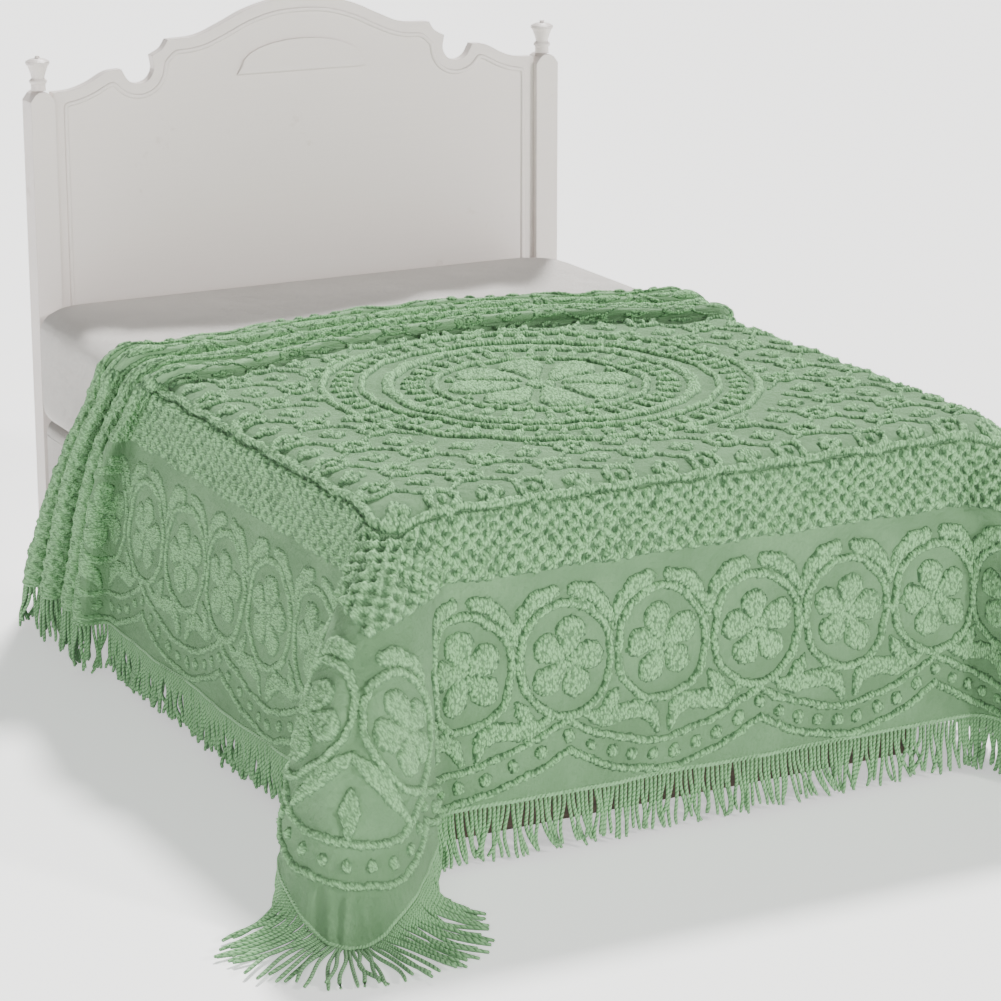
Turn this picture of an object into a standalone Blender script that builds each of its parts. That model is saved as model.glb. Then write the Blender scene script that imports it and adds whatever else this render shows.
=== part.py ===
"""A tufted chenille bedspread on a plain bed with a painted headboard.

The bedspread is one sheet that lies on the mattress, falls over both sides and
the foot, stands out in a round fold at each foot corner and is pushed down in
four uneven folds below the pillows. A fringe runs along its two sides and foot.
Metres, +Z up, +Y towards the head, origin on the floor below the bed's centre.
"""
import math

import bpy
import numpy as np

# bed
MATTRESS_WIDTH = 1.372
MATTRESS_LENGTH = 1.905
MATTRESS_TOP = 0.71
MATTRESS_DEPTH = 0.26
MATTRESS_EDGE_ROUND = 0.055
MATTRESS_PLAN_ROUND = 0.16
FOUNDATION_DEPTH = 0.22
FOUNDATION_INSET = 0.012
BASE_INSET = 0.12
BASE_CORNER = 0.01
BED_PLAN_STEPS = 5
BED_EDGE_STEPS = 4
SEAT_GAP = 0.0003

# headboard
HEADBOARD_FRONT = MATTRESS_LENGTH / 2 + 0.02
HEADBOARD_THICKNESS = 0.026
HEADBOARD_BOTTOM = 0.15
HEADBOARD_MIDDLE = 0.035
POST_SIZE = 0.058
POST_CENTRE = 0.646
PANEL_FRONT = HEADBOARD_FRONT + (POST_SIZE - HEADBOARD_THICKNESS) / 2
POST_BLOCK_TOP = 1.168
POST_CROWN = 0.022
POST_CROWN_SHARE = 0.86
POST_CROWN_STEPS = 8
FINIAL_SEGMENTS = 20
APPLIQUE_WIDTH = 0.33
APPLIQUE_HEIGHT = 0.075
APPLIQUE_BOTTOM = 1.195
APPLIQUE_THICKNESS = 0.007
APPLIQUE_STEP = 0.02
APPLIQUE_ARCH_SHARE = 0.92
APPLIQUE_ARCH_STEPS = 12

# bedspread
CLOTH_THICKNESS = 0.004
CLOTH_EDGE_ROUND = 0.05
CLOTH_PLAN_ROUND = 0.122
EDGE_CLEARANCE = 0.002
HEM_HEIGHT = 0.120
HEM_FLARE = 0.028
HEM_CORNER_ROUND = 0.14
HEAD_EDGE_FLAT = 1.985 - MATTRESS_LENGTH / 2
RIPPLE_HEIGHT = 0.005
RIPPLE_LENGTH = 0.43
CORNER_TAKE_UP = 0.52
CORNER_REACH = 1.08
CORNER_ROWS = 145
CORNER_TURNS = 60
MIN_FALL = 0.35
FLOOR_EASE_TOP = 0.16
FLOOR_EASE_DEPTH = 0.05
FLOOR_LIFT = 0.0006
FOLD_ROUNDNESS = 0.9

# fringe
FRINGE_LENGTH = 0.113
FRINGE_CORNER_LENGTH = 0.140
FRINGE_HEADING = 0.012
HEM_GAP = 0.0009
FRINGE_BEND = 0.062
TOOTH_PITCH = 0.085
TOOTH_SHARE = 0.76

# half of the round fold at a foot corner, from its tip to the flat side:
# share of its length run, and heading against the corner's own diagonal
CORNER_FOLD = [
    {"run": 0.00, "heading": 0.0},
    {"run": 0.44, "heading": 90.0},
    {"run": 0.61, "heading": 90.0},
    {"run": 0.78, "heading": 125.0},
    {"run": 1.00, "heading": 45.0},
]

# where the folds below the pillows start and end along the bed, how high they
# stand and how far they lean to the foot, for places across the flat cloth
HEAD_FOLD_ACROSS = [
    {"across": -1.40, "start": 0.365, "edge": 0.830, "rise": 0.056, "lean": 0.15},
    {"across": -1.25, "start": 0.355, "edge": 0.780, "rise": 0.058, "lean": 0.20},
    {"across": -1.08, "start": 0.330, "edge": 0.680, "rise": 0.060, "lean": 0.35},
    {"across": -0.90, "start": 0.305, "edge": 0.570, "rise": 0.062, "lean": 0.50},
    {"across": -0.78, "start": 0.240, "edge": 0.490, "rise": 0.058, "lean": 0.70},
    {"across": -0.68, "start": 0.100, "edge": 0.420, "rise": 0.050, "lean": 1.00},
    {"across": -0.58, "start": 0.060, "edge": 0.400, "rise": 0.044, "lean": 1.05},
    {"across": -0.40, "start": 0.140, "edge": 0.440, "rise": 0.042, "lean": 1.05},
    {"across": -0.20, "start": 0.210, "edge": 0.480, "rise": 0.042, "lean": 1.05},
    {"across": 0.05, "start": 0.240, "edge": 0.490, "rise": 0.042, "lean": 1.05},
    {"across": 0.25, "start": 0.220, "edge": 0.450, "rise": 0.042, "lean": 1.05},
    {"across": 0.45, "start": 0.150, "edge": 0.390, "rise": 0.042, "lean": 1.00},
    {"across": 0.60, "start": 0.075, "edge": 0.350, "rise": 0.044, "lean": 1.00},
    {"across": 0.70, "start": 0.120, "edge": 0.370, "rise": 0.050, "lean": 0.90},
    {"across": 0.82, "start": 0.250, "edge": 0.440, "rise": 0.060, "lean": 0.60},
    {"across": 0.95, "start": 0.300, "edge": 0.540, "rise": 0.062, "lean": 0.45},
    {"across": 1.10, "start": 0.330, "edge": 0.660, "rise": 0.060, "lean": 0.30},
    {"across": 1.25, "start": 0.350, "edge": 0.750, "rise": 0.058, "lean": 0.20},
    {"across": 1.40, "start": 0.360, "edge": 0.800, "rise": 0.056, "lean": 0.15},
]
HEAD_FOLDS = [
    {"share": 0.27, "height": 1.00, "sway": 0.04},
    {"share": 0.24, "height": 0.86, "sway": -0.04},
    {"share": 0.26, "height": 1.08, "sway": 0.05},
    {"share": 0.23, "height": 0.94, "sway": -0.04},
]

# grid lines of the sheet, as path lengths out from a corner's centre
DROP_LINES = [0.05, 0.072, 0.098, 0.1245, 0.1505, 0.23, 0.32, 0.41, 0.493, 0.56, 0.63]
TOP_COLUMNS = 8
TOP_ROWS = 4
ROWS_PER_FOLD = 7

# headboard outline, half: across from the middle, height, and whether it is a corner
HEADBOARD_OUTLINE = [
    {"across": 0.000, "height": 1.366, "corner": True},
    {"across": 0.070, "height": 1.361, "corner": False},
    {"across": 0.140, "height": 1.342, "corner": False},
    {"across": 0.200, "height": 1.315, "corner": False},
    {"across": 0.262, "height": 1.291, "corner": False},
    {"across": 0.334, "height": 1.286, "corner": True},
    {"across": 0.348, "height": 1.266, "corner": False},
    {"across": 0.374, "height": 1.252, "corner": True},
    {"across": 0.370, "height": 1.220, "corner": False},
    {"across": 0.384, "height": 1.197, "corner": False},
    {"across": 0.410, "height": 1.190, "corner": False},
    {"across": 0.434, "height": 1.200, "corner": False},
    {"across": 0.450, "height": 1.226, "corner": True},
    {"across": 0.486, "height": 1.222, "corner": False},
    {"across": 0.530, "height": 1.200, "corner": False},
    {"across": 0.572, "height": 1.187, "corner": False},
    {"across": 0.626, "height": 1.184, "corner": True},
]
FINIAL_PROFILE = [
    {"radius": 0.0170, "height": 0.000},
    {"radius": 0.0165, "height": 0.014},
    {"radius": 0.0200, "height": 0.019},
    {"radius": 0.0200, "height": 0.023},
    {"radius": 0.0145, "height": 0.028},
    {"radius": 0.0175, "height": 0.040},
    {"radius": 0.0225, "height": 0.054},
    {"radius": 0.0275, "height": 0.061},
    {"radius": 0.0270, "height": 0.066},
    {"radius": 0.0180, "height": 0.071},
    {"radius": 0.0060, "height": 0.073},
    {"radius": 0.0050, "height": 0.078},
]

CHENILLE_GREEN = (0.36, 0.56, 0.40)
MATTRESS_WHITE = (0.82, 0.79, 0.77)
FOUNDATION_WHITE = (0.74, 0.72, 0.70)
BASE_BROWN = (0.30, 0.22, 0.16)
PAINT_WHITE = (0.78, 0.75, 0.72)

HALF_WIDTH = MATTRESS_WIDTH / 2
HALF_LENGTH = MATTRESS_LENGTH / 2
CENTRE_X = HALF_WIDTH + EDGE_CLEARANCE + CLOTH_THICKNESS / 2 - CLOTH_PLAN_ROUND
CENTRE_Y = CENTRE_X + HALF_LENGTH - HALF_WIDTH
CLOTH_TOP = MATTRESS_TOP + SEAT_GAP + CLOTH_THICKNESS / 2
FLOOR_LEVEL = FLOOR_LIFT + CLOTH_THICKNESS / 2
ARC_START = CLOTH_PLAN_ROUND - CLOTH_EDGE_ROUND
ARC_END = ARC_START + CLOTH_EDGE_ROUND * math.pi / 2
HEM_PATH = ARC_END + CLOTH_TOP - CLOTH_EDGE_ROUND - HEM_HEIGHT


def clear_scene():
    for obj in list(bpy.data.objects):
        bpy.data.objects.remove(obj, do_unlink=True)


def material(name, colour, roughness):
    mat = bpy.data.materials.new(name)
    mat.use_nodes = True
    shader = mat.node_tree.nodes["Principled BSDF"]
    shader.inputs["Base Color"].default_value = (*colour, 1.0)
    shader.inputs["Roughness"].default_value = roughness
    shader.inputs["Metallic"].default_value = 0.0
    return mat


def add_object(name, points, faces, mat, smooth=False):
    mesh = bpy.data.meshes.new(name)
    mesh.from_pydata([tuple(map(float, p)) for p in points], [], faces)
    mesh.materials.append(mat)
    mesh.update()
    if smooth:
        mesh.shade_smooth()
        mesh.set_sharp_from_angle(angle=math.radians(50))
    obj = bpy.data.objects.new(name, mesh)
    bpy.context.collection.objects.link(obj)
    return obj


def smooth_ramp(value):
    x = np.clip(value, 0.0, 1.0)
    return x * x * (3.0 - 2.0 * x)


def column(rows, key):
    return np.array([row[key] for row in rows])


# ---------------------------------------------------------------- drape

def profile(path):
    """Reach out from the corner centre and height of the hanging cloth."""
    turn = np.clip((path - ARC_START) / CLOTH_EDGE_ROUND, 0.0, math.pi / 2)
    drop = np.maximum(path - ARC_END, 0.0)
    reach = np.minimum(path, ARC_START) + CLOTH_EDGE_ROUND * np.sin(turn)
    reach = reach + HEM_FLARE * smooth_ramp(drop / (HEM_PATH - ARC_END))
    height = CLOTH_TOP - CLOTH_EDGE_ROUND * (1.0 - np.cos(turn)) - drop
    return reach, height


def half_fold(strength, half_length, run):
    """Along and across positions of half a corner fold, counted from its tip."""
    shape = np.interp(run, column(CORNER_FOLD, "run"), column(CORNER_FOLD, "heading"))
    heading = np.radians(45.0 * run + strength * (shape - 45.0 * run))
    step = half_length * np.diff(run, prepend=0.0)
    middle = (heading + np.concatenate(([heading[0]], heading[:-1]))) / 2
    return np.cumsum(step * np.sin(middle)), np.cumsum(step * np.cos(middle))


def corner_plan(path):
    """Plan curve round a foot corner at one path length: out and along arrays."""
    reach = float(profile(np.array([path]))[0][0])
    spare = path - reach
    held = spare / (1.0 + (spare / CORNER_TAKE_UP) ** 3) ** (1 / 3)
    half_length = math.pi / 4 * (reach + held)
    run = np.linspace(0.0, 1.0, CORNER_TURNS + 1)
    low, high = 0.0, 1.6
    for _ in range(40):
        strength = (low + high) / 2
        down, across = half_fold(strength, half_length, run)
        if across[-1] > reach / math.sqrt(2):
            low = strength
        else:
            high = strength
    along = reach / math.sqrt(2) + down[-1] - down
    along = np.concatenate((along[::-1], along[1:]))
    across = np.concatenate((-across[::-1], across[1:]))
    side = (along - across) / math.sqrt(2)
    foot = (along + across) / math.sqrt(2)
    return np.stack((side, foot), -1)


def corner_table():
    """Positions over a corner, by path length out and turn from side to foot."""
    paths = np.linspace(0.0, CORNER_REACH, CORNER_ROWS)
    step = paths[1]
    rows = []
    for path in paths:
        plan = corner_plan(max(path, 0.001)) * min(1.0, path / 0.001)
        height = np.full(len(plan), float(profile(np.array([path]))[1][0]))
        rows.append(np.column_stack((plan, height)))
    table = np.array(rows)
    first = int(ARC_END / step) + 1
    tangent = np.gradient(table[:, :, :2], axis=1)
    outward = np.stack((tangent[:, :, 1], -tangent[:, :, 0]), -1)
    outward = outward / np.maximum(np.linalg.norm(outward, axis=2), 1e-9)[:, :, None]
    for i in range(first, len(paths)):
        shift = np.linalg.norm(table[i, :, :2] - table[i - 1, :, :2], axis=1)
        if i == first:
            shift = np.zeros_like(shift)
        fall = np.sqrt(np.maximum(step ** 2 - shift ** 2, (MIN_FALL * step) ** 2))
        table[i, :, 2] = table[i - 1, :, 2] - fall
        down = table[i, :, 2] < FLOOR_LEVEL
        table[i, down, :2] = table[i - 1, down, :2] + step * outward[i, down]
        table[i, down, 2] = FLOOR_LEVEL
    low = smooth_ramp((FLOOR_EASE_TOP - table[:, :, 2:]) / FLOOR_EASE_DEPTH)
    for _ in range(2):
        mean = table.copy()
        mean[1:-1] = (table[:-2] + 2.0 * table[1:-1] + table[2:]) / 4
        table = table + low * (mean - table)
    return paths, table


PATHS, CORNER = corner_table()


def corner_point(path, turn):
    """Side reach, foot reach and height at a path length and turn of 0 to 1."""
    row = np.clip(path / PATHS[1], 0.0, len(PATHS) - 1.001)
    col = np.clip(turn, 0.0, 1.0) * (CORNER.shape[1] - 1.001)
    i, j = row.astype(int), col.astype(int)
    fi, fj = (row - i)[..., None], (col - j)[..., None]
    near = CORNER[i, j] * (1 - fj) + CORNER[i, j + 1] * fj
    far = CORNER[i + 1, j] * (1 - fj) + CORNER[i + 1, j + 1] * fj
    return near * (1 - fi) + far * fi


def fold_value(across, key):
    """A column of the head fold table, eased between its rows."""
    rows = column(HEAD_FOLD_ACROSS, "across")
    values = column(HEAD_FOLD_ACROSS, key)
    spread = np.linspace(-0.06, 0.06, 7)
    return np.mean([np.interp(across + s, rows, values) for s in spread], axis=0)


def head_fold(across, flat):
    """Place along the bed and lift off the bed of cloth at a flat length."""
    start = fold_value(across, "start")
    edge = fold_value(across, "edge")
    rise = fold_value(across, "rise")
    lean = fold_value(across, "lean")
    share = np.clip((flat - start) / (HEAD_EDGE_FLAT - start), 0.0, 1.0)
    along = np.minimum(flat, start)
    lift = np.zeros_like(along)
    begin = np.zeros_like(along)
    for number, fold in enumerate(HEAD_FOLDS):
        sway = fold["sway"] * np.sin(2.6 * across + 1.3 * number)
        end = begin + fold["share"] + sway * fold["share"]
        if number == len(HEAD_FOLDS) - 1:
            end = np.ones_like(begin)
        inside = np.clip((share - begin) / (end - begin), 0.0, 1.0)
        uneven = 1.0 + 0.10 * np.sin(3.7 * across + 2.1 * number)
        bump = fold["height"] * uneven * rise * (1.0 - np.cos(2 * math.pi * inside)) / 2
        lift = lift + bump
        even = inside + FOLD_ROUNDNESS / (4 * math.pi) * np.sin(4 * math.pi * inside)
        along = along + (edge - start) * (end - begin) * even - lean * bump
        begin = end
    return along, lift


def ripple(place, drop):
    """Slight waves of the hanging sides."""
    phase = 2 * math.pi * place / RIPPLE_LENGTH
    wave = 1.0 + 0.7 * np.sin(phase) + 0.3 * np.sin(1.7 * phase + 1.0)
    return RIPPLE_HEIGHT * wave * smooth_ramp(drop / 0.4)


def drape(across, flat):
    """Middle surface of the draped cloth at flat places across and along the bed."""
    out_side = np.maximum(np.abs(across) - CENTRE_X, 0.0)
    out_foot = np.maximum(-flat - CENTRE_Y, 0.0)
    path = np.hypot(out_side, out_foot)
    turn = np.arctan2(out_foot, np.maximum(out_side, 1e-9)) / (math.pi / 2)
    turn = np.where(path < 1e-9, 0.0, turn)
    place = corner_point(path, turn)
    along, lift = head_fold(across, flat)
    over_edge = np.clip((out_side - ARC_START) / CLOTH_EDGE_ROUND, 0.0, math.pi / 2)
    drop = path - ARC_END
    side_wave = ripple(flat, drop) * (1.0 - smooth_ramp(out_foot / 0.05))
    side_wave = side_wave * smooth_ramp((flat + CENTRE_Y) / 0.3)
    foot_wave = ripple(across, drop) * (1.0 - smooth_ramp(out_side / 0.05))
    foot_wave = foot_wave * smooth_ramp((CENTRE_X - np.abs(across)) / 0.2)
    x = np.minimum(np.abs(across), CENTRE_X) + place[..., 0] + lift * np.sin(over_edge)
    x = (x + side_wave * (out_side > 0)) * np.where(across < 0, -1.0, 1.0)
    y = np.where(flat > -CENTRE_Y, along, -CENTRE_Y) - place[..., 1]
    y = y - foot_wave * (out_foot > 0)
    z = place[..., 2] + lift * np.cos(over_edge)
    return np.stack((x, y, z), -1)


def normals(across, flat):
    """Outward normals of the draped cloth, by small differences."""
    step = 0.004
    du = drape(across + step, flat) - drape(across - step, flat)
    dv = drape(across, flat + step) - drape(across, np.asarray(flat) - step)
    cross = np.cross(du, dv)
    return cross / np.maximum(np.linalg.norm(cross, axis=-1), 1e-12)[..., None]


def both_faces(across, flat):
    """Underside and upper side of the cloth at flat places."""
    middle = drape(across, flat)
    offset = CLOTH_THICKNESS / 2 * normals(across, flat)
    return middle - offset, middle + offset


# ---------------------------------------------------------------- bedspread

def round_hem(out_side, out_foot):
    """Flat grid beyond a corner centre, drawn in to the rounded cloth corner."""
    inner = HEM_PATH - HEM_CORNER_ROUND
    a = np.clip((out_side - inner) / HEM_CORNER_ROUND, 0.0, 1.0)
    b = np.clip((out_foot - inner) / HEM_CORNER_ROUND, 0.0, 1.0)
    both = (a > 0) & (b > 0)
    side = np.where(both, inner + HEM_CORNER_ROUND * a * np.sqrt(1 - b * b / 2), out_side)
    foot = np.where(both, inner + HEM_CORNER_ROUND * b * np.sqrt(1 - a * a / 2), out_foot)
    return side, foot


def flat_grid():
    """Flat places of the sheet's grid: rows from foot hem to head edge."""
    lines = np.array(DROP_LINES + [HEM_PATH])
    top = np.linspace(-CENTRE_X, CENTRE_X, TOP_COLUMNS + 1)
    across = np.concatenate((-CENTRE_X - lines[::-1], top, CENTRE_X + lines))
    flat_rows = [np.full_like(across, -CENTRE_Y - line) for line in lines[::-1]]
    start = fold_value(across, "start")
    for i in range(TOP_ROWS + 1):
        flat_rows.append(-CENTRE_Y + (start + CENTRE_Y) * i / TOP_ROWS)
    fold_rows = len(HEAD_FOLDS) * ROWS_PER_FOLD
    for i in range(1, fold_rows + 1):
        flat_rows.append(start + (HEAD_EDGE_FLAT - start) * i / fold_rows)
    flat = np.array(flat_rows)
    across = np.broadcast_to(across, flat.shape)
    out_side = np.maximum(np.abs(across) - CENTRE_X, 0.0)
    out_foot = np.maximum(-flat - CENTRE_Y, 0.0)
    side, foot = round_hem(out_side, out_foot)
    across = np.sign(across) * np.where(out_side > 0, CENTRE_X + side, np.abs(across))
    flat = np.where(out_foot > 0, -CENTRE_Y - foot, flat)
    return across, flat


def sheet_solid(name, under, over, centres, mat):
    """A closed sheet from two grids of points, cut to lie near its cell centres."""
    rows, cols = under.shape[:2]
    count = rows * cols
    points = np.concatenate((under.reshape(-1, 3), over.reshape(-1, 3)))
    faces = []
    for i in range(rows - 1):
        for j in range(cols - 1):
            a = i * cols + j
            b, c, d = a + 1, a + cols + 1, a + cols
            middle = (over + under)[i:i + 2, j:j + 2] / 4
            rising = np.linalg.norm(middle[0, 0] + middle[1, 1] - centres[i, j])
            falling = np.linalg.norm(middle[0, 1] + middle[1, 0] - centres[i, j])
            halves = [(a, b, c), (a, c, d)] if rising < falling else [(a, b, d), (b, c, d)]
            for half in halves:
                faces.append(tuple(count + index for index in half))
                faces.append(half[::-1])
    rim = [j for j in range(cols)]
    rim += [i * cols + cols - 1 for i in range(1, rows)]
    rim += [(rows - 1) * cols + j for j in range(cols - 2, -1, -1)]
    rim += [i * cols for i in range(rows - 2, 0, -1)]
    for a, b in zip(rim, rim[1:] + rim[:1]):
        faces.append((a, b, count + b))
        faces.append((a, count + b, count + a))
    return add_object(name, points, faces, mat, smooth=True)


def build_bedspread(mat):
    across, flat = flat_grid()
    under, over = both_faces(across, flat)
    cells = [(g[:-1, :-1] + g[1:, :-1] + g[:-1, 1:] + g[1:, 1:]) / 4 for g in (across, flat)]
    return sheet_solid("bedspread", under, over, drape(*cells), mat)


# ---------------------------------------------------------------- fringe

def hem_line():
    """Flat hem corners along left side, foot and right side, with outward ways."""
    across, flat = flat_grid()
    last = len(flat) - 1
    line = [(across[i, 0], flat[i, 0]) for i in range(last, -1, -1)]
    line += [(across[0, j], flat[0, j]) for j in range(1, across.shape[1])]
    line += [(across[i, -1], flat[i, -1]) for i in range(1, last + 1)]
    line = np.array(line)
    inner = HEM_PATH - HEM_CORNER_ROUND
    side = np.maximum(np.abs(line[:, 0]) - CENTRE_X - inner, 0.0)
    foot = np.maximum(-line[:, 1] - CENTRE_Y - inner, 0.0)
    way = np.stack((np.sign(line[:, 0]) * side, -foot), -1)
    way = way / np.linalg.norm(way, axis=1)[:, None]
    return line, way


def fringe_cells(line):
    """Stations along the hem, as corner number and share, and which cells are teeth."""
    stations = [(0, 0.0)]
    teeth = []
    short_run = 0
    for k in range(len(line) - 1):
        length = float(np.linalg.norm(line[k + 1] - line[k]))
        if length < 0.6 * TOOTH_PITCH:
            short_run += 1
            stations.append((k, 1.0))
            teeth.append(short_run % 4 != 0)
            continue
        cells = max(1, round(length / TOOTH_PITCH))
        for cell in range(cells):
            stations.append((k, (cell + TOOTH_SHARE) / cells))
            teeth.append(True)
            stations.append((k, (cell + 1.0) / cells))
            teeth.append(False)
    teeth[-1] = True
    return stations, teeth


def build_fringe(mat):
    line, way = hem_line()
    diagonal = 2.0 * np.abs(way[:, :1] * way[:, 1:])
    ends = FRINGE_LENGTH + (FRINGE_CORNER_LENGTH - FRINGE_LENGTH) * diagonal
    depths = [0.0, FRINGE_HEADING, FRINGE_BEND, ends]
    rows = [both_faces(*(line + way * depth).T) for depth in depths]
    gap = HEM_GAP / FRINGE_HEADING
    rows[0] = [hem * (1 - gap) + low * gap for hem, low in zip(rows[0], rows[1])]
    stations, teeth = fringe_cells(line)
    count = len(stations)
    points = []
    for under, over in rows:
        for layer in (under, over):
            for k, share in stations:
                points.append(layer[k] * (1 - share) + layer[k + 1] * share)

    def at(row, layer, station):
        return (row * 2 + layer) * count + station

    last = len(depths) - 1
    faces = []
    for s, tooth in enumerate(teeth):
        bottom = last if tooth else 1
        faces.append((at(0, 1, s), at(0, 1, s + 1), at(0, 0, s)))
        faces.append((at(0, 1, s + 1), at(0, 0, s + 1), at(0, 0, s)))
        faces.append((at(bottom, 0, s), at(bottom, 0, s + 1), at(bottom, 1, s + 1), at(bottom, 1, s)))
        for r in range(bottom):
            for layer, turn in ((0, -1), (1, 1)):
                a, b = at(r, layer, s), at(r + 1, layer, s)
                c, d = at(r + 1, layer, s + 1), at(r, layer, s + 1)
                faces.append((a, b, c)[::turn])
                faces.append((a, c, d)[::turn])
    for s in range(count):
        before = 0 if s == 0 else (last if teeth[s - 1] else 1)
        after = 0 if s == count - 1 else (last if teeth[s] else 1)
        for r in range(min(before, after), max(before, after)):
            wall = (at(r, 0, s), at(r + 1, 0, s), at(r + 1, 1, s), at(r, 1, s))
            faces.append(wall if after > before else wall[::-1])
    used = sorted({index for face in faces for index in face})
    renumber = {old: new for new, old in enumerate(used)}
    points = [points[index] for index in used]
    faces = [tuple(renumber[index] for index in face) for face in faces]
    return add_object("fringe", points, faces, mat)


# ---------------------------------------------------------------- bed

def rounded_plan(half_x, low_y, high_y, radius, steps):
    """Counter-clockwise plan outline with rounded corners."""
    outline = []
    corners = [
        (half_x - radius, low_y + radius, -90.0),
        (half_x - radius, high_y - radius, 0.0),
        (-half_x + radius, high_y - radius, 90.0),
        (-half_x + radius, low_y + radius, 180.0),
    ]
    for x, y, begin in corners:
        for i in range(steps + 1):
            angle = math.radians(begin + 90.0 * i / steps)
            outline.append((x + radius * math.cos(angle), y + radius * math.sin(angle)))
    return outline


def stacked_solid(name, layers, mat, smooth=False):
    """A closed solid through matching outlines, bottom to top."""
    count = len(layers[0][0])
    points = [(x, y, z) for outline, z in layers for x, y in outline]
    faces = [tuple(range(count - 1, -1, -1))]
    for level in range(len(layers) - 1):
        for i in range(count):
            a = level * count + i
            b = level * count + (i + 1) % count
            faces.append((a, b, b + count, a + count))
    top = (len(layers) - 1) * count
    faces.append(tuple(range(top, top + count)))
    return add_object(name, points, faces, mat, smooth)


def build_mattress(mat):
    bottom = MATTRESS_TOP - MATTRESS_DEPTH
    radius = MATTRESS_EDGE_ROUND
    layers = []
    for centre_z, begin in ((bottom + radius, -90.0), (MATTRESS_TOP - radius, 0.0)):
        for i in range(BED_EDGE_STEPS + 1):
            angle = math.radians(begin + 90.0 * i / BED_EDGE_STEPS)
            inset = radius * (1 - math.cos(angle))
            plan = rounded_plan(HALF_WIDTH - inset, -HALF_LENGTH + inset, HALF_LENGTH - inset,
                                MATTRESS_PLAN_ROUND - inset, BED_PLAN_STEPS)
            layers.append((plan, centre_z + radius * math.sin(angle)))
    return stacked_solid("mattress", layers, mat, smooth=True)


def build_foundation(mat):
    top = MATTRESS_TOP - MATTRESS_DEPTH - SEAT_GAP
    plan = rounded_plan(HALF_WIDTH - FOUNDATION_INSET, -HALF_LENGTH + FOUNDATION_INSET,
                        HALF_LENGTH - FOUNDATION_INSET, MATTRESS_PLAN_ROUND, BED_PLAN_STEPS)
    return stacked_solid("foundation", [(plan, top - FOUNDATION_DEPTH), (plan, top)], mat)


def build_base(mat):
    top = MATTRESS_TOP - MATTRESS_DEPTH - FOUNDATION_DEPTH - 2 * SEAT_GAP
    plan = rounded_plan(HALF_WIDTH - BASE_INSET, -HALF_LENGTH + BASE_INSET,
                        PANEL_FRONT - SEAT_GAP, BASE_CORNER, 1)
    return stacked_solid("bed_base", [(plan, 0.0), (plan, top)], mat)


def eased_outline(rows, steps=4):
    """Smooth line through the outline rows, with its named corners kept."""
    points = [np.array((row["across"], row["height"])) for row in rows]
    line = [points[0]]
    for i in range(len(points) - 1):
        a, b = points[i], points[i + 1]
        before = a - (b - a) if rows[i]["corner"] else points[i - 1]
        after = b + (b - a) if rows[i + 1]["corner"] else points[i + 2]
        for k in range(1, steps + 1):
            t = k / steps
            line.append(0.5 * (2 * a + (b - before) * t
                               + (2 * before - 5 * a + 4 * b - after) * t * t
                               + (3 * a - before - 3 * b + after) * t ** 3))
    return line


def upright_solid(name, outline, front, thickness, mat):
    """A board with a counter-clockwise outline in X and Z, from its front backwards."""
    count = len(outline)
    points = [(x, front, z) for x, z in outline]
    points += [(x, front + thickness, z) for x, z in outline]
    faces = [tuple(range(count)), tuple(range(2 * count - 1, count - 1, -1))]
    for i in range(count):
        j = (i + 1) % count
        faces.append((j, i, count + i, count + j))
    return add_object(name, points, faces, mat)


def build_headboard(mat):
    half = eased_outline(HEADBOARD_OUTLINE)
    edge = POST_CENTRE - POST_SIZE / 2 - SEAT_GAP
    half = [(min(float(x), edge), float(z)) for x, z in half]
    outline = [(edge, HEADBOARD_BOTTOM), (-edge, HEADBOARD_BOTTOM)]
    outline += [(-x, z) for x, z in half[::-1]]
    outline += half[1:]
    outline = [(HEADBOARD_MIDDLE + x, z) for x, z in outline[::-1]]
    upright_solid("headboard_panel", outline, PANEL_FRONT, HEADBOARD_THICKNESS, mat)


def build_applique(mat):
    half = APPLIQUE_WIDTH / 2
    outline = [(-half, APPLIQUE_BOTTOM), (half, APPLIQUE_BOTTOM)]
    for i in range(APPLIQUE_ARCH_STEPS + 1):
        angle = math.pi * i / APPLIQUE_ARCH_STEPS
        rise = APPLIQUE_STEP + (APPLIQUE_HEIGHT - APPLIQUE_STEP) * math.sin(angle)
        outline.append((half * APPLIQUE_ARCH_SHARE * math.cos(angle), APPLIQUE_BOTTOM + rise))
    outline = [(HEADBOARD_MIDDLE + x, z) for x, z in outline]
    front = PANEL_FRONT - SEAT_GAP - APPLIQUE_THICKNESS
    upright_solid("headboard_applique", outline, front, APPLIQUE_THICKNESS, mat)


def build_post(side, mat):
    name = "left" if side < 0 else "right"
    half = POST_SIZE / 2
    centre = HEADBOARD_MIDDLE + side * POST_CENTRE
    outline = [(-half, 0.0), (half, 0.0), (half, POST_BLOCK_TOP)]
    for i in range(1, POST_CROWN_STEPS):
        angle = math.pi * i / POST_CROWN_STEPS
        crown = POST_BLOCK_TOP + POST_CROWN * math.sin(angle)
        outline.append((half * POST_CROWN_SHARE * math.cos(angle), crown))
    outline.append((-half, POST_BLOCK_TOP))
    outline = [(centre + x, z) for x, z in outline]
    upright_solid("post_" + name, outline, HEADBOARD_FRONT, POST_SIZE, mat)
    seat = POST_BLOCK_TOP + POST_CROWN + SEAT_GAP
    layers = []
    for row in FINIAL_PROFILE:
        ring = []
        for i in range(FINIAL_SEGMENTS):
            angle = 2 * math.pi * i / FINIAL_SEGMENTS
            ring.append((centre + row["radius"] * math.cos(angle),
                         HEADBOARD_FRONT + half + row["radius"] * math.sin(angle)))
        layers.append((ring, seat + row["height"]))
    stacked_solid("finial_" + name, layers, mat, smooth=True)


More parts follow.
